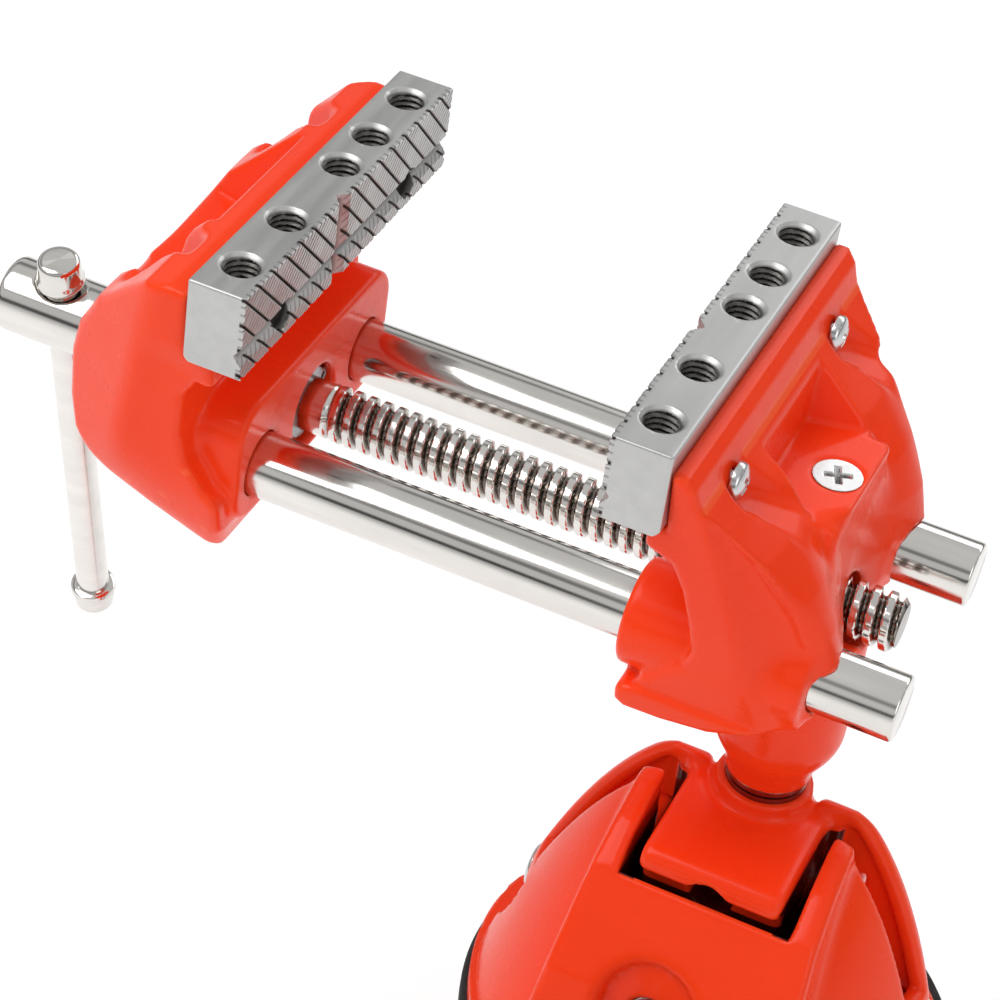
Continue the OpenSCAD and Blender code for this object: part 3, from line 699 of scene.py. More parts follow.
def screw_pocket(x, y, z):
    """Space in front of a plate screw; it widens outwards and to one side, over a sloping floor."""
    out = x - SCREW_SEAT
    wall = (np.abs(y - 0.62 * out) - 3.3 - 0.1 * out) / math.hypot(1, 0.62)
    floor = (-SCREW_DROP - 3.2 - 0.5 * out - z) / math.hypot(1, 0.5)
    pocket = round_max(round_max(wall, -out, 2.4), floor, 2)
    return np.minimum(pocket, np.maximum(disc(y, z + SCREW_DROP, 3.4), -out))


def valley(x, y, z):
    """Space between the two ribs, with a flat floor for the locking screw."""
    floor = VALLEY_FLOOR - z
    side = (np.abs(y - 0.5) - 9.6 - 0.3 * (z - VALLEY_FLOOR) - 0.3 * (x - 16.5)) / 1.09
    return round_max(round_max(side, floor, 0.8), 16 - x, 0.8)


def jaw_back(body, x, y, z):
    """Takes the pockets and the valley out of a jaw's back."""
    for side in (-1, 1):
        body = cut(body, screw_pocket(x, y - side * SCREW_Y, z), 1.2)
    return cut(body, valley(x, y, z), 0.9)


def swell(x, y, z):
    """How far the back bulges over the rods and dips in the middle."""
    rib = 3.0 * np.exp(-((np.abs(y) - ROD_Y - 2) / 7.5) ** 2)
    dip = 2.6 * np.exp(-(y / 7.5) ** 2)
    return (rib - dip) * smooth((-z - 10) / 18) * smooth((x - 10) / 14)


def rods_and_screw(body, x, y, z, clearance, screw_bore):
    """Opens a casting for the rods, the lead screw and the plate screws."""
    for side in (-1, 1):
        body = cut(body, disc(y - side * ROD_Y, z + ROD_DROP, ROD_R + clearance), 0.5)
        body = without(body, disc(y - side * SCREW_Y, z + SCREW_DROP, 1.6), 8 - x)
    return cut(body, disc(y, z + ROD_DROP, screw_bore), 0.5)


RIDGE_DEPTHS = (7.9, 12.2, 17.5, 23.5, 27.4, 33.2, 42)
RIDGE_X = (14.1, 18.2, 23.3, 27.1, 29.2, 31.6, 32.6)


def dished_panel(x, z):
    """Depth of the hollow panel between a jaw's end wall and the ridge along its back."""
    start = 13.2 + 0.3 * np.maximum(-4.1 - z, 0)
    end = np.interp(-z, RIDGE_DEPTHS, RIDGE_X)
    u = np.clip((x - start) / (end - start), 0, 1)
    return 5.6 * u * (1 - u) * smooth((-z - 7.5) / 5) * smooth((48 + z) / 8)


def fixed_casting(x, y, z):
    side = np.abs(y)
    body = outline(x - swell(x, y, z), z, FIXED_PROFILE)
    flange = 0.9 * smooth((-z - 49) / 1.4)
    body = round_max(body, end_walls(y, z, 26) - flange, 1.2)
    chamfer = (0.5 * x + 0.8 * side - 34.8) / math.hypot(0.5, 0.8)
    body = round_max(body, chamfer + dished_panel(x, z), 1.2)
    nose = round_max(side - 12, round_max(between(x, 12, 29.6), between(z, -48, -12), 1.5), 1.5)
    body = round_min(body, nose, 2.5)
    body = jaw_back(body, x, y, z)
    body = cut(body, outline(x, z, FIXED_HOLLOW), 1.4)
    for s in (-1, 1):
        boss = round_max(disc(y - s * ROD_Y, z + ROD_DROP, 8.4), between(x, 3.6, 32.6), 1.2)
        body = round_min(body, boss, 1.6)
    body = round_min(body, round_max(disc(y, z + ROD_DROP, 10.5), between(x, 6, 28), 1), 2)
    boss_r = 10.5 - 3.4 * smooth((-z - 67) / 10) ** 1.4
    neck_end = COLLAR_TOP + SEAT_RISE - JAW_TOP
    neck = round_max(disc(x - NECK_X, y, 0) - boss_r, between(z, neck_end, -46), 0.5)
    body = round_min(body, neck, 2.2)
    body = rods_and_screw(body, x, y, z, 0.18, SCREW_R + 0.7)
    body = cut(body, np.maximum(disc(y, z + ROD_DROP, 8), between(x, NUT_START, NUT_END)), 0.3)
    sunk = np.maximum(np.hypot(x - NECK_X, y) - np.clip(z + 23.45, 2, 4.1), -36 - z)
    return without(body, sunk)


def moving_casting(x, y, z):
    side = np.abs(y)
    body = outline(x - 0.25 * swell(x, y, z), z, MOVING_PROFILE)
    crease = 15.5 + 0.187 * (-z - 3)
    u = np.clip((x - 5) / (crease - 5), 0, 1)
    hollow = 2.8 * u * (1 - u) * smooth((-z - 13) / 6) * smooth((54 + z) / 8)
    body = round_max(body, end_walls(y, z, 29.5) + hollow, 1.4)
    body = round_max(body, (0.5 * x + 0.8 * side - 35.6) / math.hypot(0.5, 0.8), 1.4)
    body = round_max(body, 0.163 * x + 0.867 * side - 0.472 * z - 49.3, 3)
    body = jaw_back(body, x, y, z)
    body = cut(body, outline(x, z, MOVING_HOLLOW), 1.2)
    block = round_box(y, z + 39.6, 26.2, 10.8, 6.5)
    body = round_min(body, round_max(block, between(x, 3, 20), 1.0), 1.6)
    body = round_min(body, round_max(disc(y, z + ROD_DROP, 8.6), between(x, 20, 34.7), 0.8), 2)
    body = rods_and_screw(body, x, y, z, 0.12, SCREW_R + 0.1)
    return cut(body, np.maximum(disc(y, z + ROD_DROP, 6.9), x - 5.9), 0.8)


fixed_body = surface("fixed_jaw_casting", fixed_casting, (2, -36, -83), (38, 36, -1), 0.55, ON_FIXED)
finish_piece(fixed_body, "fixed_jaw_body")
moving_body = surface("moving_jaw_casting", moving_casting, (1, -36, -58), (38, 36, -1), 0.55, ON_MOVING)
finish_piece(moving_body, "moving_jaw_body")


# ---------------------------------------------------------------- jaw plates

def zigzag(value, pitch):
    """Distance to the nearest of a row of lines."""
    return np.abs((value / pitch + 0.5) % 1 - 0.5) * pitch


def grip_depth(y, z):
    """Depth of the grip face's grooves."""
    coarse = np.maximum(0.42 - 1.1 * zigzag(y + z, COARSE_PITCH), 0)
    fine = np.maximum(0.18 - 0.7 * zigzag(y - z, FINE_PITCH), 0)
    return np.minimum(coarse + fine, 0.5)


def jaw_plate(x, y, z):
    body = round_box(y, z + PLATE_H / 2, HALF_LEN, PLATE_H / 2, 0.35)
    body = round_max(body, x - PLATE_T, 0.5)
    body = np.maximum(body, (x - z - PLATE_T - PLATE_H + 1.1) / math.sqrt(2))
    body = np.maximum(body, grip_depth(y, z) - x)
    notch = (1.3 - np.abs(z + PLATE_H - 4.1) * 0.75 - x) * 0.8
    body = np.maximum(body, notch)
    groove = (1.6 - np.abs(y + 3.4) * 0.8 - x) * 0.8
    body = np.maximum(body, groove)
    for peg in PEG_Y:
        across = y - peg
        inward = x - PLATE_T / 2
        reach = np.hypot(inward, across)
        turn = np.arctan2(across, inward) / (2 * math.pi)
        thread = 2.52 + 0.52 * zigzag(z - turn, 1.0) * 2
        hole = np.maximum((reach - thread) * 0.75, -PEG_DEPTH - z)
        hole = np.minimum(hole, (reach - 3.25 - z) / math.sqrt(2) - 0.1)
        body = without(body, hole)
    for side in (-1, 1):
        reach = np.hypot(y - side * SCREW_Y, z + SCREW_DROP)
        body = without(body, np.minimum(reach - 1.6, np.maximum(reach - 2.6, x - 2)))
    return body


for label, place in (("fixed", ON_FIXED), ("moving", ON_MOVING)):
    plate = surface(f"{label}_plate", jaw_plate, (-0.4, -35.4, -PLATE_H - 0.4),
                    (PLATE_T + 0.4, 35.4, 0.4), 0.23, place, 32)
    finish_piece(plate, f"{label}_jaw_plate")


# ---------------------------------------------------------------- fasteners

def cross_recess(u, v, w, depth, half_width, reach):
    """Cross recess of a screw head; w is the height above the recess's mouth."""
    wide = half_width + 0.16 * w
    arm_u = np.maximum(np.abs(u) - wide, np.abs(v) - reach - 0.55 * w)
    arm_v = np.maximum(np.abs(v) - wide, np.abs(u) - reach - 0.55 * w)
    return np.maximum(np.minimum(arm_u, arm_v), -depth - w)


def pan_head(u, v, w):
    """Pan head screw, its head from w = 0 to 2.1."""
    dome = np.sqrt(u * u + v * v + (w + 3.2) ** 2) - 5.3
    head = round_max(round_max(disc(u, v, 3.1), dome, 0.5), -w, 0.15)
    shank = np.maximum(disc(u, v, 1.55), between(w, -11.5, 0.5))
    return cut(np.minimum(head, shank), cross_recess(u, v, w - 2.1, 1.5, 0.42, 1.7), 0.15)


def countersunk_head(u, v, w):
    """Countersunk screw, its head's top at w = 0."""
    head = both(disc(u, v, 3.9), (np.hypot(u, v) - 3.95 - w) / math.sqrt(2), w)
    shank = np.maximum(disc(u, v, 1.95), between(w, -17, 0))
    return cut(round_max(np.minimum(head, shank), w, 0.2), cross_recess(u, v, w, 1.9, 0.48, 2.1), 0.15)


for label, on_jaw, sign in (("fixed", FIXED_X, 1), ("moving", MOVING_X, -1)):
    for number, side in enumerate((-1, 1), 1):
        origin = (on_jaw + sign * SCREW_SEAT, side * SCREW_Y, JAW_TOP - SCREW_DROP)
        turn = math.radians(25 * number)
        across = math.cos(turn) * Y + math.sin(turn) * Z
        place = frame_matrix(origin, across, np.cross(sign * X, across), sign * X)
        screw = surface(f"{label}_plate_screw_{number}", pan_head, (-3.4, -3.4, -11.8), (3.4, 3.4, 2.5),
                        0.13, place, 35)
        finish_piece(screw, f"{label}_plate_screws")

turn = math.radians(22)
lock_screw = surface("nut_locking_screw", countersunk_head, (-4.2, -4.2, -17.3), (4.2, 4.2, 0.3), 0.14,
                     frame_matrix((0, 0, JAW_TOP + VALLEY_FLOOR), math.cos(turn) * X + math.sin(turn) * Y,
                                  math.cos(turn) * Y - math.sin(turn) * X, Z), 35)
finish_piece(lock_screw, "nut_lock_screw")


# ---------------------------------------------------------------- rods, lead screw and handle

rod_profile = rounded_ends(rod_high[0] - rod_low[0], ROD_R, 0.5)
for label, side in (("front", -1), ("rear", 1)):
    rod = turned(f"{label}_rod", rod_profile, along_x(rod_low[0], side * ROD_Y, ROD_Z), 128)
    finish_piece(rod, f"{label}_guide_rod")


def screw_head(x, y, z):
    """Lead screw head with its cross hole; x from the head's outer end, z along the hole."""
    head = round_max(disc(y, z, HEAD_R), between(x, 0, head_length), 1.3)
    shank = round_max(disc(y, z, SCREW_R), between(x, 2, shank_length), 0.3)
    body = round_min(head, shank, 0.6)
    at = x - (head_length + HEAD_START - BAR_STATION)
    hole = disc(at, y, BAR_R + 0.12)
    flare = disc(at, y, BAR_R + 0.1) - np.maximum(np.abs(z) - HEAD_R + 1.6, 0) * 0.9
    return cut(body, np.minimum(hole, flare), 0.5)


head_length = -screw_low[0] + MOVING_X - HEAD_START
shank_length = head_length + HEAD_START - 5.35
head_piece = surface("lead_screw_head", screw_head, (-0.6, -HEAD_R - 0.6, -HEAD_R - 0.6),
                     (shank_length + 0.6, HEAD_R + 0.6, HEAD_R + 0.6), 0.26,
                     frame_matrix((screw_low[0], 0, ROD_Z), X, np.cross(BAR_AXIS, X), BAR_AXIS), 40)
finish_piece(head_piece, "lead_screw")

thread_start = MOVING_X - 5.35
screw_length = screw_high[0] - thread_start
shaft = threaded("lead_screw_thread", screw_length, SCREW_R, 1.15, SCREW_PITCH,
                 along_x(thread_start, 0, ROD_Z), plain=5.2, chamfer=1.1)
finish_piece(shaft, "lead_screw")


nut = ring_part("screw_nut_bush", washer_profile(NUT_START, NUT_END, SCREW_R, 7.95, 0.4),
                along_x(FIXED_X, 0, ROD_Z))
finish_piece(nut, "screw_nut")


def circlip(u, v, w):
    """Retaining ring with its gap and two lugs with plier holes, 1 mm thick."""
    ring = np.abs(np.hypot(u, v) - 5.15) - 0.98
    lugs = np.minimum(disc(u - 5.3, v - 2.1, 1.5), disc(u - 5.3, v + 2.1, 1.5))
    flat = np.maximum(np.minimum(ring, lugs), -np.maximum(np.abs(v) - 1.0, -u))
    for side in (-1, 1):
        flat = np.maximum(flat, -disc(u - 5.3, v - side * 2.1, 0.6))
    return round_max(flat, between(w, 0, 1), 0.2)


ring = surface("screw_retaining_ring", circlip, (-6.6, -6.6, -0.3), (7, 6.6, 1.3), 0.16,
               along_x(MOVING_X - 5.25, 0, ROD_Z), 35)
finish_piece(ring, "retaining_ring")
washer = ring_part("screw_front_washer", washer_profile(-5.75, -5.3, 4.65, 6.8, 0.1),
                   along_x(MOVING_X, 0, ROD_Z))
finish_piece(washer, "front_thrust_washer")
washer_ring = washer_profile(-HEAD_START + 0.1, -HEAD_START + 1.6, 4.65, 8, 0.3)
washer = ring_part("screw_rear_washer", washer_ring, along_x(MOVING_X, 0, ROD_Z))
finish_piece(washer, "rear_thrust_washer")


def cap_profile():
    """Turned cap with a bead round its open end, tapering to a flat top."""
    bead = [(0, 3.05), (0.1, 3.5), (0.35, 3.86), (0.7, 4.0), (1.2, 4.0), (1.6, 3.8)]
    top = [(4.4 + math.sin(a), 2.4 + 1.1 * math.cos(a)) for a in np.linspace(0, math.pi / 2, 6)]
    return bead + [(2.2, 3.74)] + top + [(5.4, 0.02)]


def bar_profile(length):
    """A bar very slightly swaged at its ends."""
    return [(0, BAR_R - 0.2), (0.3, BAR_R), (length - 0.3, BAR_R), (length, BAR_R - 0.2)]


BAR_LEN = 79
UPPER_CAP = HEAD_R + 0.1
bar_foot = ON_BAR.copy()
bar_foot[:3, 3] += BAR_AXIS * (UPPER_CAP - BAR_LEN)
handle = turned("handle_rod", bar_profile(BAR_LEN + 2.5), bar_foot)
finish_piece(handle, "handle_bar")
cap_seat = ON_BAR.copy()
cap_seat[:3, 3] += BAR_AXIS * UPPER_CAP
cap = turned("handle_cap_upper", cap_profile(), cap_seat)
finish_piece(cap, "handle_upper_cap")
lower_seat = ON_BAR @ np.diag([1.0, -1.0, -1.0, 1.0])
lower_seat[:3, 3] += BAR_AXIS * (UPPER_CAP - BAR_LEN + 2.5)
cap = turned("handle_cap_lower", cap_profile(), lower_seat)
finish_piece(cap, "handle_lower_cap")


# ---------------------------------------------------------------- neck

ring_z = SEAT_Z + SEAT_RISE
collar_profile = washer_profile(collar_low[2], collar_high[2] + SEAT_RISE, POST_R, 6.65, 0.25)
groove = [(0.9, 6.65), (1.0, 6.35), (1.25, 6.35), (1.35, 6.65)]
collar_profile[3:3] = [(ring_z + rise, r) for rise, r in groove]
collar = ring_part("neck_ring", collar_profile, IDENTITY)
finish_piece(collar, "neck_collar")


# ---------------------------------------------------------------- tilt head

HOOD_CUT = [(0.5, 6.5), (0.5, 60), (-60, 60), (-60, -60), (60, -60), (60, 36), (11, 6.6), (9, -1),
            (6, -7), (0, -9), (-6, -7), (-9, 0), (-6.5, 6.5)]
REAR_REACH = LOW_CREST + TILT_Z - TILT_Y    # y plus z of the block's rear edges
BLOCK = [(REAR_REACH - BLOCK_FLOOR, BLOCK_FLOOR), (REAR_REACH - SEAT_Z, SEAT_Z)] \
    + arc((-20.9, SEAT_Z - 2.8), 2.8, 90, 195) + [(-20.5, SEAT_Z - 6.6), (-19.6, BLOCK_FLOOR)]
WEB = [(-17, BLOCK_FLOOR + 1), (-10.5, 31), (-10, 20), (10, 20), (11, 33), (11, BLOCK_FLOOR + 1)]
REAR = [(0.5, LOW_CREST - 0.5), (21.8, LOW_CREST - 21.8), (10, 6), (8.4, 8.8), (16.6, 13.8),
        (0.5, LOW_CREST - 5)]


def dome_radius(z):
    return BASE_R * np.maximum(1 - z / DOME_H, 0.03) ** DOME_POWER


def dome_slope(z):
    return DOME_POWER * dome_radius(z) / np.maximum(DOME_H - z, 2)


def barrel(x, y, z, inset):
    """The dome's outline turned about the tilt axis."""
    reach = np.hypot(y + TILT_Y, z - TILT_Z)
    height = TILT_Z + reach
    side = (np.abs(x) - dome_radius(height) + inset) / np.hypot(1, dome_slope(height))
    return np.maximum(side, reach - (SEAT_Z + 2 - TILT_Z - inset))


def tilt_casting(x, y, z):
    back = y + TILT_Y
    rise = z - TILT_Z
    slope = (back + rise - CREST) / math.sqrt(2)
    outer = round_max(round_max(barrel(x, y, z, 0), slope, 2), back - HOOD_REAR, 2)
    room = np.maximum(disc(back, rise, CORE_R + 0.6), np.abs(x) - CORE_HALF - 0.6)
    open_front = np.minimum(np.maximum(slope + HOOD_T, back - 1.8), room)
    inner = np.maximum(barrel(x, y, z, HOOD_T), open_front)
    hood = round_max(np.maximum(outer, -inner), -outline(back, rise, HOOD_CUT), 1.2)
    low_slope = (back + rise - LOW_CREST) / math.sqrt(2)
    hood = cut(hood, round_max(np.abs(x) - NOTCH_HALF, -low_slope, 2), 1.5)
    rear = round_max(outline(back, rise, REAR), np.abs(x) - SLOT_HALF + 0.3, 0.8)
    block = round_max(outline(y, z, BLOCK), np.abs(x) - HEAD_HALF, 1.6)
    seat = np.maximum(disc(x, y, 7.6), between(z, BLOCK_FLOOR, SEAT_Z + SEAT_RISE))
    web = round_max(outline(y, z, WEB), np.abs(x) - HEAD_HALF, 1)
    hub = round_max(disc(back, rise, HUB_R), np.abs(x) - SLOT_HALF + 0.3, 0.6)
    body = round_min(round_min(block, hood, 3.2), rear, 1)
    body = np.minimum(body, round_min(web, hub, 2))
    room = disc(x, y, 8.6) - 1.5 * np.maximum(z - SEAT_Z - SEAT_RISE, 0)
    body = cut(body, np.maximum(room, SEAT_Z - z), 2)
    body = round_min(body, seat, 3)
    body = cut(body, np.maximum(disc(x, y, 12), SEAT_Z + SEAT_RISE - z), 0.3)
    body = without(body, disc(x, y, POST_R + 0.05), BLOCK_FLOOR - 8 - z)
    pocket = np.maximum(round_box(x, y - 11, 9, 20, 1), between(z, BLOCK_FLOOR - 6.5, BLOCK_FLOOR - 1))
    body = cut(body, pocket, 0.4)
    set_screw = z - SEAT_Z + 6.2
    body = cut(body, np.maximum(disc(x, set_screw, 4), y + 14), 0.4)
    body = without(body, disc(x, set_screw, 3), y)
    return without(body, disc(back, rise, AXLE_R + 0.05))


head_top = SEAT_Z + 3
tilt_piece = surface("tilt_head_casting", tilt_casting, (-44, -26, 7), (44, 38, head_top), 0.6)
finish_piece(tilt_piece, "tilt_head")


# ---------------------------------------------------------------- base

FACE = [(CHEEK_Y, PAD_T), (-42, PAD_T), (-41.2, 15), (-38.6, 26), (-34.4, 36.5), (-29.3, 45),
        (-24.3, CUT_Z), (-17.5, CHEEK_TOP - 2.9), (-10.4, CHEEK_TOP), (CHEEK_Y, CHEEK_TOP)]
HOLLOW = [(-30, -14), (-18, -26), (18, -26), (30, -14), (30, -10), (22, -6), (22, 10), (15, 15),
          (-15, 15), (-22, 10), (-22, -6), (-30, -10)]
FOOT = [(-ARM_HALF, ARM_OUT + 4), (ARM_HALF, ARM_OUT + 4), (ARM_HALF, ARM_IN), (12, 4), (-12, 4),
        (-ARM_HALF, ARM_IN)]


def base_casting(x, y, z):
    side = np.abs(x)
    reach = np.hypot(x, y + TILT_Y)
    dome = (reach - dome_radius(z)) / np.hypot(1, dome_slope(z))
    above = PAD_T - z
    front = round_max(np.maximum(dome, above), z - CHEEK_TOP, 0.8)
    front = round_max(front, y - CHEEK_Y, 0.8)
    axis = disc(y + TILT_Y, z - TILT_Z, 0)
    front = cut(front, axis - EAR_RECESS_R, 0.6)
    face = round_max(outline(y, z, FACE), (side - 24.5 + 0.108 * z) / math.hypot(1, 0.108), 1.4)
    core = round_max(np.maximum(barrel(x, y, z, WALL), above), axis - CORE_R, 1)
    core = round_max(core, np.minimum(y - CHEEK_Y, side - CORE_HALF), 2)
    rim = reach - dome_radius(PAD_T) + 3 * smooth((y - 5) / 20)
    flange = both(rim, above, z - PAD_T - 4)
    body = round_min(front, face, 1.2)
    body = np.minimum(np.minimum(body, core), flange)
    arm = np.maximum(round_box(x, y - (ARM_IN + ARM_OUT) / 2, ARM_HALF, (ARM_IN - ARM_OUT) / 2, 4),
                     between(z, BOSS_BOTTOM, PAD_T + 9))
    level = between(z, BOSS_BOTTOM, BOSS_TOP)
    foot = round_max(np.maximum(outline(x, y, FOOT), disc(x, y, 50)), level, 2.5)
    boss = round_max(disc(x, y, 12), level, 1.2)
    lower = round_min(round_min(arm, foot, 4), boss, 2)
    body = round_min(body, lower, 2.5)
    slot = both(side - SLOT_HALF, between(y, -23.8, 20), -1 - z)
    body = cut(body, slot, 0.9)
    body = cut(body, both(side - SLOT_HALF, 15 - y, PAD_T + 4 - z), 0.9)
    body = cut(body, round_max(side - SLOT_HALF, CUT_Z - z, 1), 0.9)
    body = without(body, outline(x, y, HOLLOW), between(z, -1, 12))
    out = (y + TILT_Y) * LOCK_AXIS[1] + (z - TILT_Z) * LOCK_AXIS[2]
    up = (y + TILT_Y) * LOCK_AXIS[2] - (z - TILT_Z) * LOCK_AXIS[1]
    across = x - LOCK_X
    over = up - ARCH_LIFT
    arch = np.maximum(np.hypot(across, np.maximum(over, 0)) - ARCH_R, np.maximum(33 - out, -14 - over))
    body = cut(body, np.maximum(arch, -y - 45), 2.6)
    body = without(body, disc(across, up, LOCK_R + 0.05), -out)
    body = np.maximum(body, AXLE_R - axis)
    for a in PAD_SCREW_TURNS:
        hole = disc(x - PAD_SCREW_RING * math.cos(a), y - PAD_SCREW_RING * math.sin(a), 1.25)
        body = without(body, hole, z - 7)
    return without(body, disc(x, y, CLAMP_R + 0.05), z - BOSS_BOTTOM - 13)


base_piece = surface("base_casting", base_casting, (-44, -50, BOSS_BOTTOM - 1),
                     (44, 43, CHEEK_TOP + 1), 0.75)
finish_piece(base_piece, "base_housing")


def rubber_pad(x, y, z):
    """Pad under the base with a rounded rim and ring grooves in its underside."""
    reach = np.hypot(x, y + TILT_Y)
    body = round_max(reach - BASE_R, between(z, 0, PAD_T), 1.2)
    body = cut(body, y - ARM_IN, 0.5)
    grooves = np.maximum(1.1 - zigzag(reach - 3, 6), z - 0.9)
    body = without(body, grooves, between(reach, 8, 32))
    for a in PAD_SCREW_TURNS:
        hole = disc(x - PAD_SCREW_RING * math.cos(a), y - PAD_SCREW_RING * math.sin(a), 1.3)
        body = without(body, np.minimum(hole, np.maximum(hole - 1.35, z - 3.2)))
    return body


rubber = surface("base_pad", rubber_pad, (-43, -36, -0.6), (43, 42, PAD_T + 0.6), 0.5)
finish_piece(rubber, "base_rubber_pad")


# ---------------------------------------------------------------- tilt lock

def knob(u, v, w):
    """Six-lobed knob, w along the stud."""
    angle = np.arctan2(v, u)
    lobes = 7.9 + 0.72 * np.cos(6 * angle)
    body = round_max((np.hypot(u, v) - lobes) * 0.9, between(w, 0, 14), 1.6)
    body = round_max(body, np.hypot(u, v) + 0.9 * np.maximum(2.6 - w, 0) - 8.4, 0.8)
    body = cut(body, np.sqrt(u * u + v * v + (w - 25.4) ** 2) - 12, 0.5)
    return without(body, disc(u, v, 5.6), w - 11)


knob_place = ON_LOCK.copy()
knob_place[:3, 3] += LOCK_AXIS * KNOB_AT
knob_piece = surface("tilt_lock_knob", knob, (-9.2, -9.2, -0.8), (9.2, 9.2, 14.8), 0.34, knob_place)
finish_piece(knob_piece, "lock_knob")

stud_place = ON_LOCK.copy()
stud_place[:3, 3] += LOCK_AXIS * (HUB_R + 4.3)
stud = threaded("tilt_lock_stud", KNOB_AT + 11 - HUB_R - 4.3, LOCK_R, 0.65, 1.25, stud_place, chamfer=0.6)
finish_piece(stud, "lock_stud")
insert_place = ON_LOCK.copy()
insert_place[:3, 3] += LOCK_AXIS * (KNOB_AT - 0.5)
insert = ring_part("tilt_lock_insert", washer_profile(0, 11.5, LOCK_R, 5.6, 0.4), insert_place)
finish_piece(insert, "lock_knob_insert")
shoe_place = ON_LOCK.copy()
shoe_place[:3, 3] += LOCK_AXIS * (HUB_R + 0.3)
shoe = turned("tilt_lock_shoe", rounded_ends(4, LOCK_R - 0.2, 0.5), shoe_place)
finish_piece(shoe, "lock_shoe")
axle = turned("tilt_axle_pin", rounded_ends(axle_high[0] - axle_low[0], AXLE_R, 0.8),
              along_x(axle_low[0], -TILT_Y, TILT_Z))
finish_piece(axle, "tilt_axle")


# ---------------------------------------------------------------- table clamp

CLAMP_HEAD = 11
head_top_z = clamp_low[2] + CLAMP_HEAD
tip_z = swivel_low[2] - 0.1


def clamp_head(x, y, z):
    """Head of the clamp screw with its cross hole."""
    body = round_max(disc(x, y, 7), between(z, clamp_low[2], head_top_z), 1.2)
    shank = round_max(disc(x, y, CLAMP_R), between(z, clamp_low[2] + 2, head_top_z + 2), 0.2)
    body = round_min(body, shank, 0.8)
    at = z - head_top_z + 6
    flare = disc(y, at, BAR_R + 0.1) - np.maximum(np.abs(x) - 5.6, 0) * 0.9
    return cut(body, np.minimum(flare, disc(y, at, BAR_R + 0.08)), 0.4)


clamp_head_piece = surface("clamp_screw_head", clamp_head, (-7.6, -7.6, clamp_low[2] - 0.6),
                           (7.6, 7.6, head_top_z + 2.6), 0.3, IDENTITY, 40)
finish_piece(clamp_head_piece, "clamp_screw")
clamp_thread = threaded("clamp_screw_thread", tip_z - head_top_z - 1.5, CLAMP_R, 0.8, 1.5,
                        frame_matrix((0, 0, head_top_z + 1.5), X, Y, Z), chamfer=0.8)
finish_piece(clamp_thread, "clamp_screw")
tip_profile = [(-1, 3), (1.5, 3), (1.6, 2.4), (2.5, 2.4), (2.6, 3), (3.0, 3), (3.4, 2.5)]
tip = turned("clamp_screw_tip", tip_profile, frame_matrix((0, 0, tip_z), X, Y, Z))
finish_piece(tip, "clamp_screw")

swivel_r = swivel_high[0]
cup_inside = [(3.7, 0.02), (3.7, 4.6), (1.4, 4.6), (1.4, 3.05), (0.3, 3.05)]
cup = [(0.1, 3.2), (0.1, 7.6), (0.3, 8.2), (2.8, swivel_r - 1.4), (3.4, swivel_r - 0.2), (3.8, swivel_r),
       (4.6, swivel_r), (5, swivel_r - 0.4), (5, 0.02)] + cup_inside
pad_piece = ring_part("clamp_swivel_pad", cup, frame_matrix((0, 0, tip_z), X, Y, Z))
finish_piece(pad_piece, "clamp_pad")


def pad_rubber(x, y, z):
    """Rubber face of the clamp pad, ribbed."""
    body = round_max(disc(x, y, rubber_high[0]), between(z, rubber_low[2], rubber_high[2]), 0.5)
    ribs = np.maximum(0.5 - zigzag(x, 3), rubber_high[2] - 0.6 - z)
    return without(body, ribs, disc(x, y, rubber_high[0] - 2))


rubber = surface("clamp_rubber", pad_rubber, (-13.2, -13.2, rubber_low[2] - 0.4),
                 (13.2, 13.2, rubber_high[2] + 0.4), 0.3)
finish_piece(rubber, "clamp_pad_rubber")
bar_z = (clamp_bar_high[2] + clamp_bar_low[2]) / 2
bar = turned("clamp_handle_rod", bar_profile(clamp_bar_high[0] - clamp_bar_low[0]),
             along_x(clamp_bar_low[0], 0, bar_z))
finish_piece(bar, "clamp_bar")
for label, sign in (("left", -1), ("right", 1)):
    place = frame_matrix((sign * (clamp_bar_high[0] - 2.5), 0, bar_z), sign * Y, Z, sign * X)
    cap = turned(f"clamp_handle_cap_{label}", cap_profile(), place)
    finish_piece(cap, "clamp_bar_caps")


# ---------------------------------------------------------------- stage

FLOOR_HALF = 2.5
floor_z = cad_box[0][2]
floor_mesh = bpy.data.meshes.new("floor")
floor_mesh.from_pydata([(-FLOOR_HALF, -FLOOR_HALF, floor_z), (FLOOR_HALF, -FLOOR_HALF, floor_z),
                        (FLOOR_HALF, FLOOR_HALF, floor_z), (-FLOOR_HALF, FLOOR_HALF, floor_z)], [],
                       [(0, 1, 2, 3)])
floor = bpy.data.objects.new("floor", floor_mesh)
bpy.context.scene.collection.objects.link(floor)
floor_material, floor_tree = new_material("floor")
shader(floor_tree).inputs["Base Color"].default_value = (0.93, 0.93, 0.93, 1)
shader(floor_tree).inputs["Roughness"].default_value = 0.9
shader(floor_tree).inputs["Emission Color"].default_value = (1, 1, 1, 1)
shader(floor_tree).inputs["Emission Strength"].default_value = 0.22
floor_mesh.materials.append(floor_material)


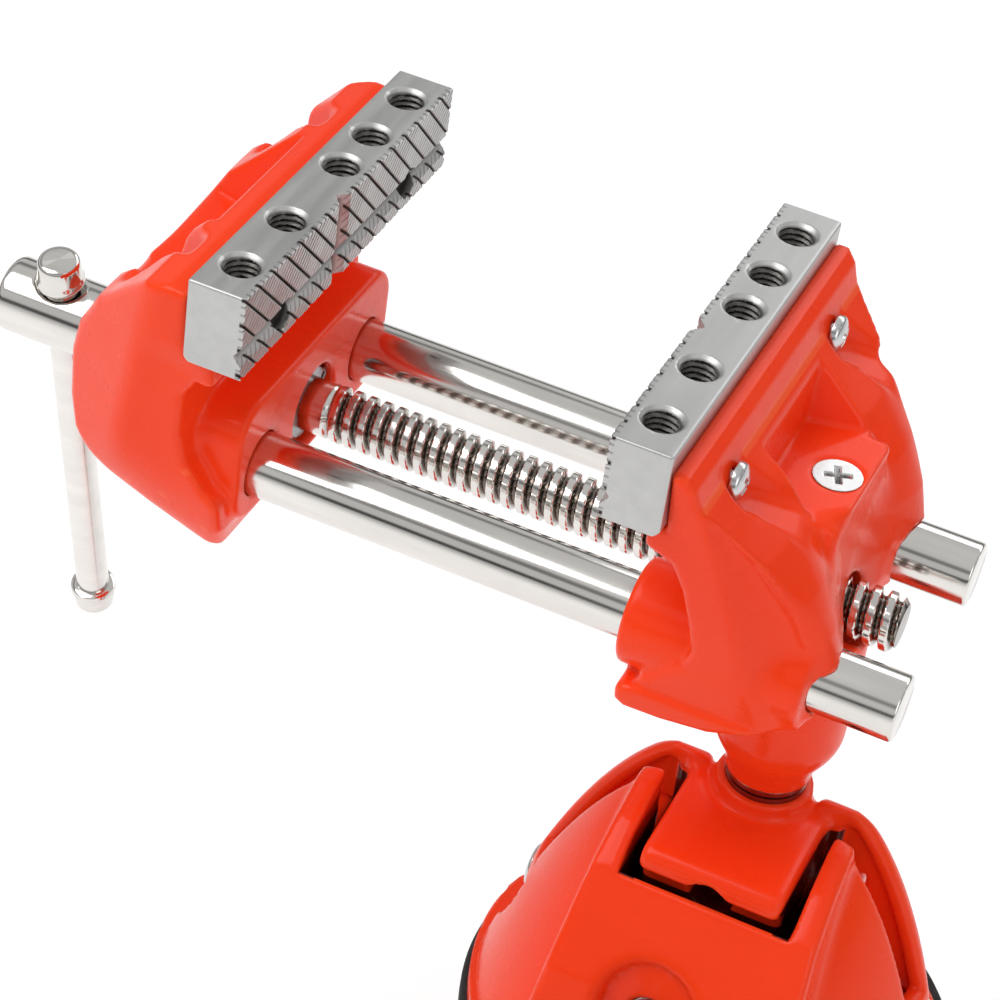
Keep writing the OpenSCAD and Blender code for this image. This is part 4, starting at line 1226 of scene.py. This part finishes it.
def area_light(name, location, target, size, power, colour=(1, 1, 1)):
    """A soft square light aimed at a point."""
    data = bpy.data.lights.new(name, "AREA")
    data.shape = "RECTANGLE"
    data.size = size[0]
    data.size_y = size[1]
    data.energy = power
    data.color = colour
    light = bpy.data.objects.new(name, data)
    light.location = location
    aim = Vector(target) - Vector(location)
    light.rotation_euler = aim.to_track_quat("-Z", "Y").to_euler()
    bpy.context.scene.collection.objects.link(light)


centre = (-0.03, 0, 0.09)
area_light("key", (-0.55, -0.35, 0.95), centre, (0.7, 0.7), 5.5)
area_light("fill", (0.75, -0.55, 0.55), centre, (0.5, 0.8), 1.6)
area_light("back", (0.2, 0.9, 0.7), centre, (0.9, 0.4), 2.2)

world = bpy.data.worlds.new("studio")
world.use_nodes = True
bpy.context.scene.world = world
sky = world.node_tree
coords = sky.nodes.new("ShaderNodeTexCoord")
split = sky.nodes.new("ShaderNodeSeparateXYZ")
ramp = sky.nodes.new("ShaderNodeValToRGB")
sky.links.new(coords.outputs["Generated"], split.inputs["Vector"])
sky.links.new(split.outputs["Z"], ramp.inputs["Fac"])
sky.links.new(ramp.outputs["Color"], sky.nodes["Background"].inputs["Color"])
bands = [(0.0, 0.9), (0.04, 0.10), (0.16, 0.12), (0.24, 1.0), (0.50, 1.0), (0.56, 0.35), (0.66, 0.35),
         (0.74, 1.0)]
while len(ramp.color_ramp.elements) < len(bands):
    ramp.color_ramp.elements.new(0.5)
for element, (position, level) in zip(ramp.color_ramp.elements, bands):
    element.position = position
    element.color = (level, level, level, 1)
sky.nodes["Background"].inputs["Strength"].default_value = 0.62

# camera: looks down on the jaws from the front right, its top leaning left
camera_data = bpy.data.cameras.new("camera")
camera_data.lens = 114.25
camera_data.sensor_width = 36
camera_data.clip_start = 0.01
camera = bpy.data.objects.new("camera", camera_data)
bpy.context.scene.collection.objects.link(camera)
eye = Vector((0.074795, -0.370110, 0.400278))
look_at = Vector((-0.049348, -0.005777, 0.098))
roll = math.radians(-8.869)
forward = (look_at - eye).normalized()
level_right = forward.cross(Vector((0, 0, 1))).normalized()
level_up = level_right.cross(forward)
up = math.cos(roll) * level_up + math.sin(roll) * level_right
right = forward.cross(up)
camera.matrix_world = Matrix.Translation(eye) @ Matrix((right, up, -forward)).transposed().to_4x4()
bpy.context.scene.camera = camera
bpy.context.scene.view_settings.view_transform = "Standard"
